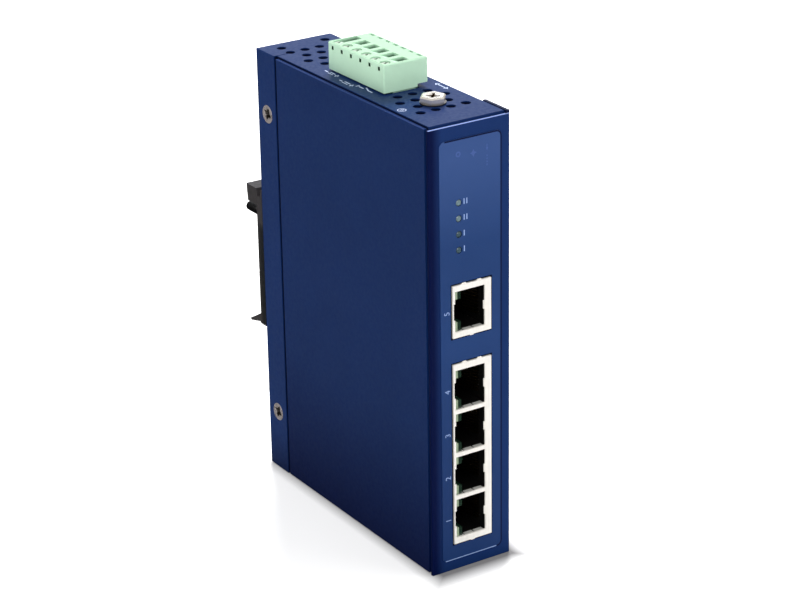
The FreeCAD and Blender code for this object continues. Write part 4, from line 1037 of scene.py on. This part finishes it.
@dataclass
class TopPrint:
    """The plain signs on the top sheet, in millimetres."""

    earth: Pair = (-10.8, -29.4)
    earth_ring: Pair = (1.35, 1.12)
    earth_sides: int = 20
    earth_bars: tuple[float, ...] = (1.25, 0.8, 0.4)
    supplies: tuple[Pair, ...] = ((-9.2, 11.6), (-10.6, 1.2))
    supply_line: float = 0.42
    contact: Pair = (-9.0, -7.4)
    contact_line: float = 0.45
    slide: Pair = (10.8, -17.6)
    slide_length: float = 6.8

    def build(self) -> None:
        """Print the earth sign beside its screw, and the others beside the terminal plug."""
        ink = Print(Face.TOP, TOP)
        self.print_earth(ink)
        ink.lay("ground_sign", INK)
        ink = Print(Face.TOP, TOP)
        for x, y in self.supplies:
            self.print_supply(ink, x, y)
        self.print_contact(ink)
        self.print_slide(ink)
        ink.lay("top_signs", INK)

    def print_earth(self, ink: Print) -> None:
        """Print the protective earth sign.

        Args:
            ink: The print to add to.
        """
        x, y = self.earth
        ink.ring(self.earth, *self.earth_ring, self.earth_sides)
        ink.stroke((x - 0.4, y), 0.7, 0.2)
        for step, reach in enumerate(self.earth_bars):
            ink.stroke((x + 0.05 + 0.3 * step, y), 0.17, reach)

    def print_supply(self, ink: Print, x: float, y: float) -> None:
        """Print a direct current sign between a plus and a minus.

        Args:
            ink: The print to add to.
            x: The middle of the signs across the width.
            y: Their middle from the front to the back.
        """
        line, full, dash = self.supply_line, 2.8, 0.7
        sign, sign_x, sign_reach = 1.6, x + 0.3, 2.9
        ink.stroke((x + 0.75, y), line, full)
        for step in (-1.0, 0.0, 1.0):
            ink.stroke((x - 0.15, y + step), line, dash)
        for side in (-1, 1):
            ink.stroke((sign_x, y + side * sign_reach), line, sign)
        ink.stroke((sign_x, y - sign_reach), sign, line)

    def print_contact(self, ink: Print) -> None:
        """Print the sign of an open contact.

        Args:
            ink: The print to add to.
        """
        x, y = self.contact
        line = self.contact_line
        for side in (-1, 1):
            ink.stroke((x, y + side * 2.4), line, 2.4)
        ink.patch((x - 0.15, y - 1.2), (x + 0.25, y - 1.4), (x + 1.3, y + 1.2), (x + 0.9, y + 1.4))
        ink.stroke((x, y + 4.3), 1.4, line)

    def print_slide(self, ink: Print) -> None:
        """Print the two-way arrow.

        Args:
            ink: The print to add to.
        """
        x, y = self.slide
        half, head_width, head_length = self.slide_length / 2, 1.8, 1.5
        ink.stroke((x, y), 0.4, self.slide_length - 1.6)
        for side in (-1, 1):
            tip = y + side * half
            foot = tip - side * head_length
            ink.patch((x, tip), (x - head_width / 2, foot), (x + head_width / 2, foot))


@dataclass
class Housing:
    """The painted sheet housing, with its cover's screws and the print on its top."""

    sheet_edge: float = 0.12
    cover_edge: float = 0.25

    def build(self) -> None:
        """Dress the sheets, and build what belongs to them."""
        dress(NAVY, "chassis", edge=self.sheet_edge)
        dress(PANEL_COAT, "front_panel", edge=self.sheet_edge)
        dress(COVER_COAT, "left_cover", edge=self.cover_edge)
        CoverScrews().build()
        FlangeEdge().build()
        dress(TINNED, "cover_nuts", "ground_nut")
        TopPrint().build()


@dataclass
class GroundTerminal:
    """The ground screw and its washer."""

    edge: float = 0.18

    def build(self) -> None:
        """Dress the screw and the washer."""
        dress(GROUND, "ground_screw", "ground_washer", edge=self.edge)


@dataclass
class TerminalBlock:
    """The pluggable terminal block on the top."""

    plug_edge: float = 0.16
    header_edge: float = 0.1
    screw_edge: float = 0.08

    def build(self) -> None:
        """Dress the plug, its metal and the header under it."""
        dress(PLUG_GREEN, "terminal_plug", edge=self.plug_edge)
        dress(HEADER_GREEN, "terminal_header", edge=self.header_edge)
        dress(TINNED, "terminal_clamps", "header_pins")
        dress(CLAMP_SCREW, "terminal_screws", edge=self.screw_edge)


@dataclass
class SocketBank:
    """One shielded socket, or a gang of them, in the front."""

    prefix: str
    shield_edge: float = 0.12
    moulded_edge: float = 0.1

    def build(self) -> None:
        """Dress the shield, the moulding, its contacts and its lamps."""
        dress(SHIELD, f"{self.prefix}_shield", edge=self.shield_edge)
        dress(SOCKET_BLACK, f"{self.prefix}_insert", edge=self.moulded_edge)
        dress(SHADED_CONTACT, f"{self.prefix}_contacts")
        dress(LENS, f"{self.prefix}_lamps", edge=self.moulded_edge)


@dataclass
class FrontLabel:
    """The printed film, and the status lights that look through it, in millimetres."""

    number_x: float = -8.2
    number_height: float = 1.9
    font_per_height: float = 1.38
    first_port: float = 17.0
    port_pitch: float = 13.97
    gang_ports: int = 4
    uplink: float = 83.72
    first_light: float = 102.5
    light_pitch: float = 4.8
    lights: int = 4
    tally_x: float = -2.09
    tally_pitch: float = 0.96
    tally: Pair = (0.34, 1.7)
    base_line: Pair = (-0.3, 3.55)
    base_size: Pair = (18.4, 0.26)
    corner: float = 1.8
    # How wide the painted shadow along the film's top and right edges is
    rim: float = 0.42
    window_sides: Pair = (-6.69, 7.21)
    window_spans: tuple[Pair, ...] = ((8.45, 67.45), (75.35, 92.1))
    # How wide the painted gap shade round each window is
    cut_edge: float = 0.26
    faint_ring: Pair = (-4.0, 131.5)
    faint_star: Pair = (1.2, 130.9)
    faint_arrow: Pair = (5.9, 130.7)

    def build(self) -> None:
        """Dress the film and the lights, print the plain marks, and paint the film's edge shadow
        and the gap shade.
        """
        dress(LABEL, "front_label")
        dress(PIPE, "status_lights")
        dress(SOCKET_BLACK, "light_pipe_holder")
        heights = [self.first_port + self.port_pitch * step for step in range(self.gang_ports)]
        for number, height in enumerate([*heights, self.uplink], start=1):
            self.print_number(number, height)
        self.print_lines()
        self.print_rim()
        self.print_window_edges()
        self.print_faint_marks()

    def start(self) -> Print:
        """Start a print on the film."""
        return Print(Face.FRONT, LABEL_LOW.y - Print.THICKNESS)

    def print_number(self, number: int, height: float) -> None:
        """Print a port's number beside it, to be read from the right.

        Args:
            number: The port's number.
            height: How high its middle is.
        """
        name = f"port_number_{number}"
        relief = 0.012
        curve = bpy.data.curves.new("number_outline", "FONT")
        curve.body = str(number)
        curve.size = self.number_height * self.font_per_height * MM
        curve.align_x = "CENTER"
        curve.align_y = "CENTER"
        curve.extrude = relief * MM
        curve.resolution_u = 4
        drawing = bpy.data.objects.new("number_outline", curve)
        bpy.context.scene.collection.objects.link(drawing)
        bpy.context.view_layer.update()
        mesh = bpy.data.meshes.new_from_object(drawing.evaluated_get(
            bpy.context.evaluated_depsgraph_get()))
        bpy.data.objects.remove(drawing)
        bpy.data.curves.remove(curve)
        upright = Matrix.Rotation(math.radians(90), 3, "X")
        read_up = upright @ Matrix.Rotation(math.radians(90), 3, "Z")
        place = Vector((self.number_x, LABEL_LOW.y - relief, height)) * MM
        mesh.transform(Matrix.Translation(place) @ read_up.to_4x4())
        add_piece(name, mesh, SMALL_INK)

    def print_lines(self) -> None:
        """Print the base line and a short tally beside each status light."""
        ink = self.start()
        ink.stroke(self.base_line, *self.base_size)
        ink.lay("label_base_line", SMALL_INK)
        ink = self.start()
        for index in range(self.lights):
            height = self.first_light + self.light_pitch * index + 0.2
            for stroke in range(1 + index // 2):
                ink.stroke((self.tally_x + self.tally_pitch * stroke, height), *self.tally)
        ink.lay("label_tallies", SMALL_INK)

    def print_rim(self) -> None:
        """Paint the film's edge shadow as a dark band along its top and right edges, round their
        corners.
        """
        x = LABEL_HIGH.x - self.corner
        upper, lower = LABEL_HIGH.z - self.corner, LABEL_LOW.z + self.corner
        turns = [math.radians(90 - 15 * step) for step in range(7)]

        def line(radius: float) -> list[Pair]:
            """Draw one side of the rim, from its upper left end round to the lowest.

            Args:
                radius: How far it lies from the corners' centres.

            Returns:
                The line's points.
            """
            arc = [(x + radius * math.cos(turn), upper + radius * math.sin(turn))
                   for turn in turns]
            end = [(x + radius * math.sin(turn), lower - radius * math.cos(turn))
                   for turn in turns]
            return [(LABEL_LOW.x + self.corner, upper + radius), *arc, *end]

        ink = self.start()
        ink.band(line(self.corner), line(self.corner - self.rim))
        ink.lay("label_rim_shadow", RIM_SHADOW)

    def print_window_edges(self) -> None:
        """Paint the shade of the gap as a dark band round each of the film's two socket windows.
        """
        ink = self.start()
        left, right = self.window_sides
        wide = self.cut_edge
        for low, high in self.window_spans:
            x, z = (left + right) / 2, (low + high) / 2
            for side in (-1, 1):
                ink.stroke((x + side * (right - left + wide) / 2, z), wide, high - low + 2 * wide)
                ink.stroke((x, z + side * (high - low + wide) / 2), right - left, wide)
        ink.lay("label_window_shade", GAP_SHADE)

    def print_faint_marks(self) -> None:
        """Print a faint ring, star and arrow near the top of the film."""
        ink = self.start()
        ink.ring(self.faint_ring, 0.85, 0.4, sides=24)
        x, z = self.faint_star
        arm, waist = 1.2, 0.4
        ink.patch((x - arm, z), (x - waist, z - waist), (x, z - arm), (x + waist, z - waist),
                  (x + arm, z), (x + waist, z + waist), (x, z + arm), (x - waist, z + waist))
        x, z = self.faint_arrow
        half, head, line = 0.4, 0.9, 0.3
        ink.patch((x - half, z + head), (x, z), (x + half, z + head))
        ink.stroke((x, z + 1.4), line, 1.0)
        for step in range(4):
            ink.stroke((x, z - 1.5 - 0.9 * step), line, 0.5)
        ink.lay("label_faint_marks", FAINT_INK)


@dataclass
class RailClip:
    """The rail clip behind the housing, with its sprung wire."""

    bracket_edge: float = 0.2
    screw_edge: float = 0.06
    foot_round: float = 1.1

    def build(self) -> None:
        """Dress the bracket, its screws, the spring wire and the feet."""
        dress(CLIP, "rail_bracket", edge=self.bracket_edge)
        dress(SCREW, "bracket_screws", edge=self.screw_edge)
        dress(TINNED, "bracket_nuts")
        dress(WIRE, "rail_spring")
        dress(FOOT, "spring_feet", edge=self.foot_round)


@dataclass
class CircuitBoard:
    """The circuit board and everything on it."""

    metal_edge: float = 0.1

    def build(self) -> None:
        """Dress the board and its parts."""
        dress(BOARD, "main_board")
        dress(TINNED, "board_standoffs", "board_screws", "clock_crystal")
        dress(PACKAGE, "switch_chip", "line_transformers", "power_inductors", "alarm_relay",
              "input_fuse", "small_chips")
        dress(BARE, "heat_sink", "board_capacitors", edge=self.metal_edge)


def main() -> None:
    """Build the view, the studio and every sub-assembly in order."""
    logging.basicConfig(level=logging.INFO, format="%(message)s")
    bpy.context.scene.view_settings.view_transform = "Standard"
    PhotographView().build()
    Studio().build()
    assemblies = [
        Housing(), GroundTerminal(), TerminalBlock(),
        SocketBank("uplink_jack"), SocketBank("gang_jack"),
        FrontLabel(), RailClip(), CircuitBoard(),
    ]
    for assembly in assemblies:
        assembly.build()
        log.info("finished %s", type(assembly).__name__)


if __name__ == "__main__":
    main()
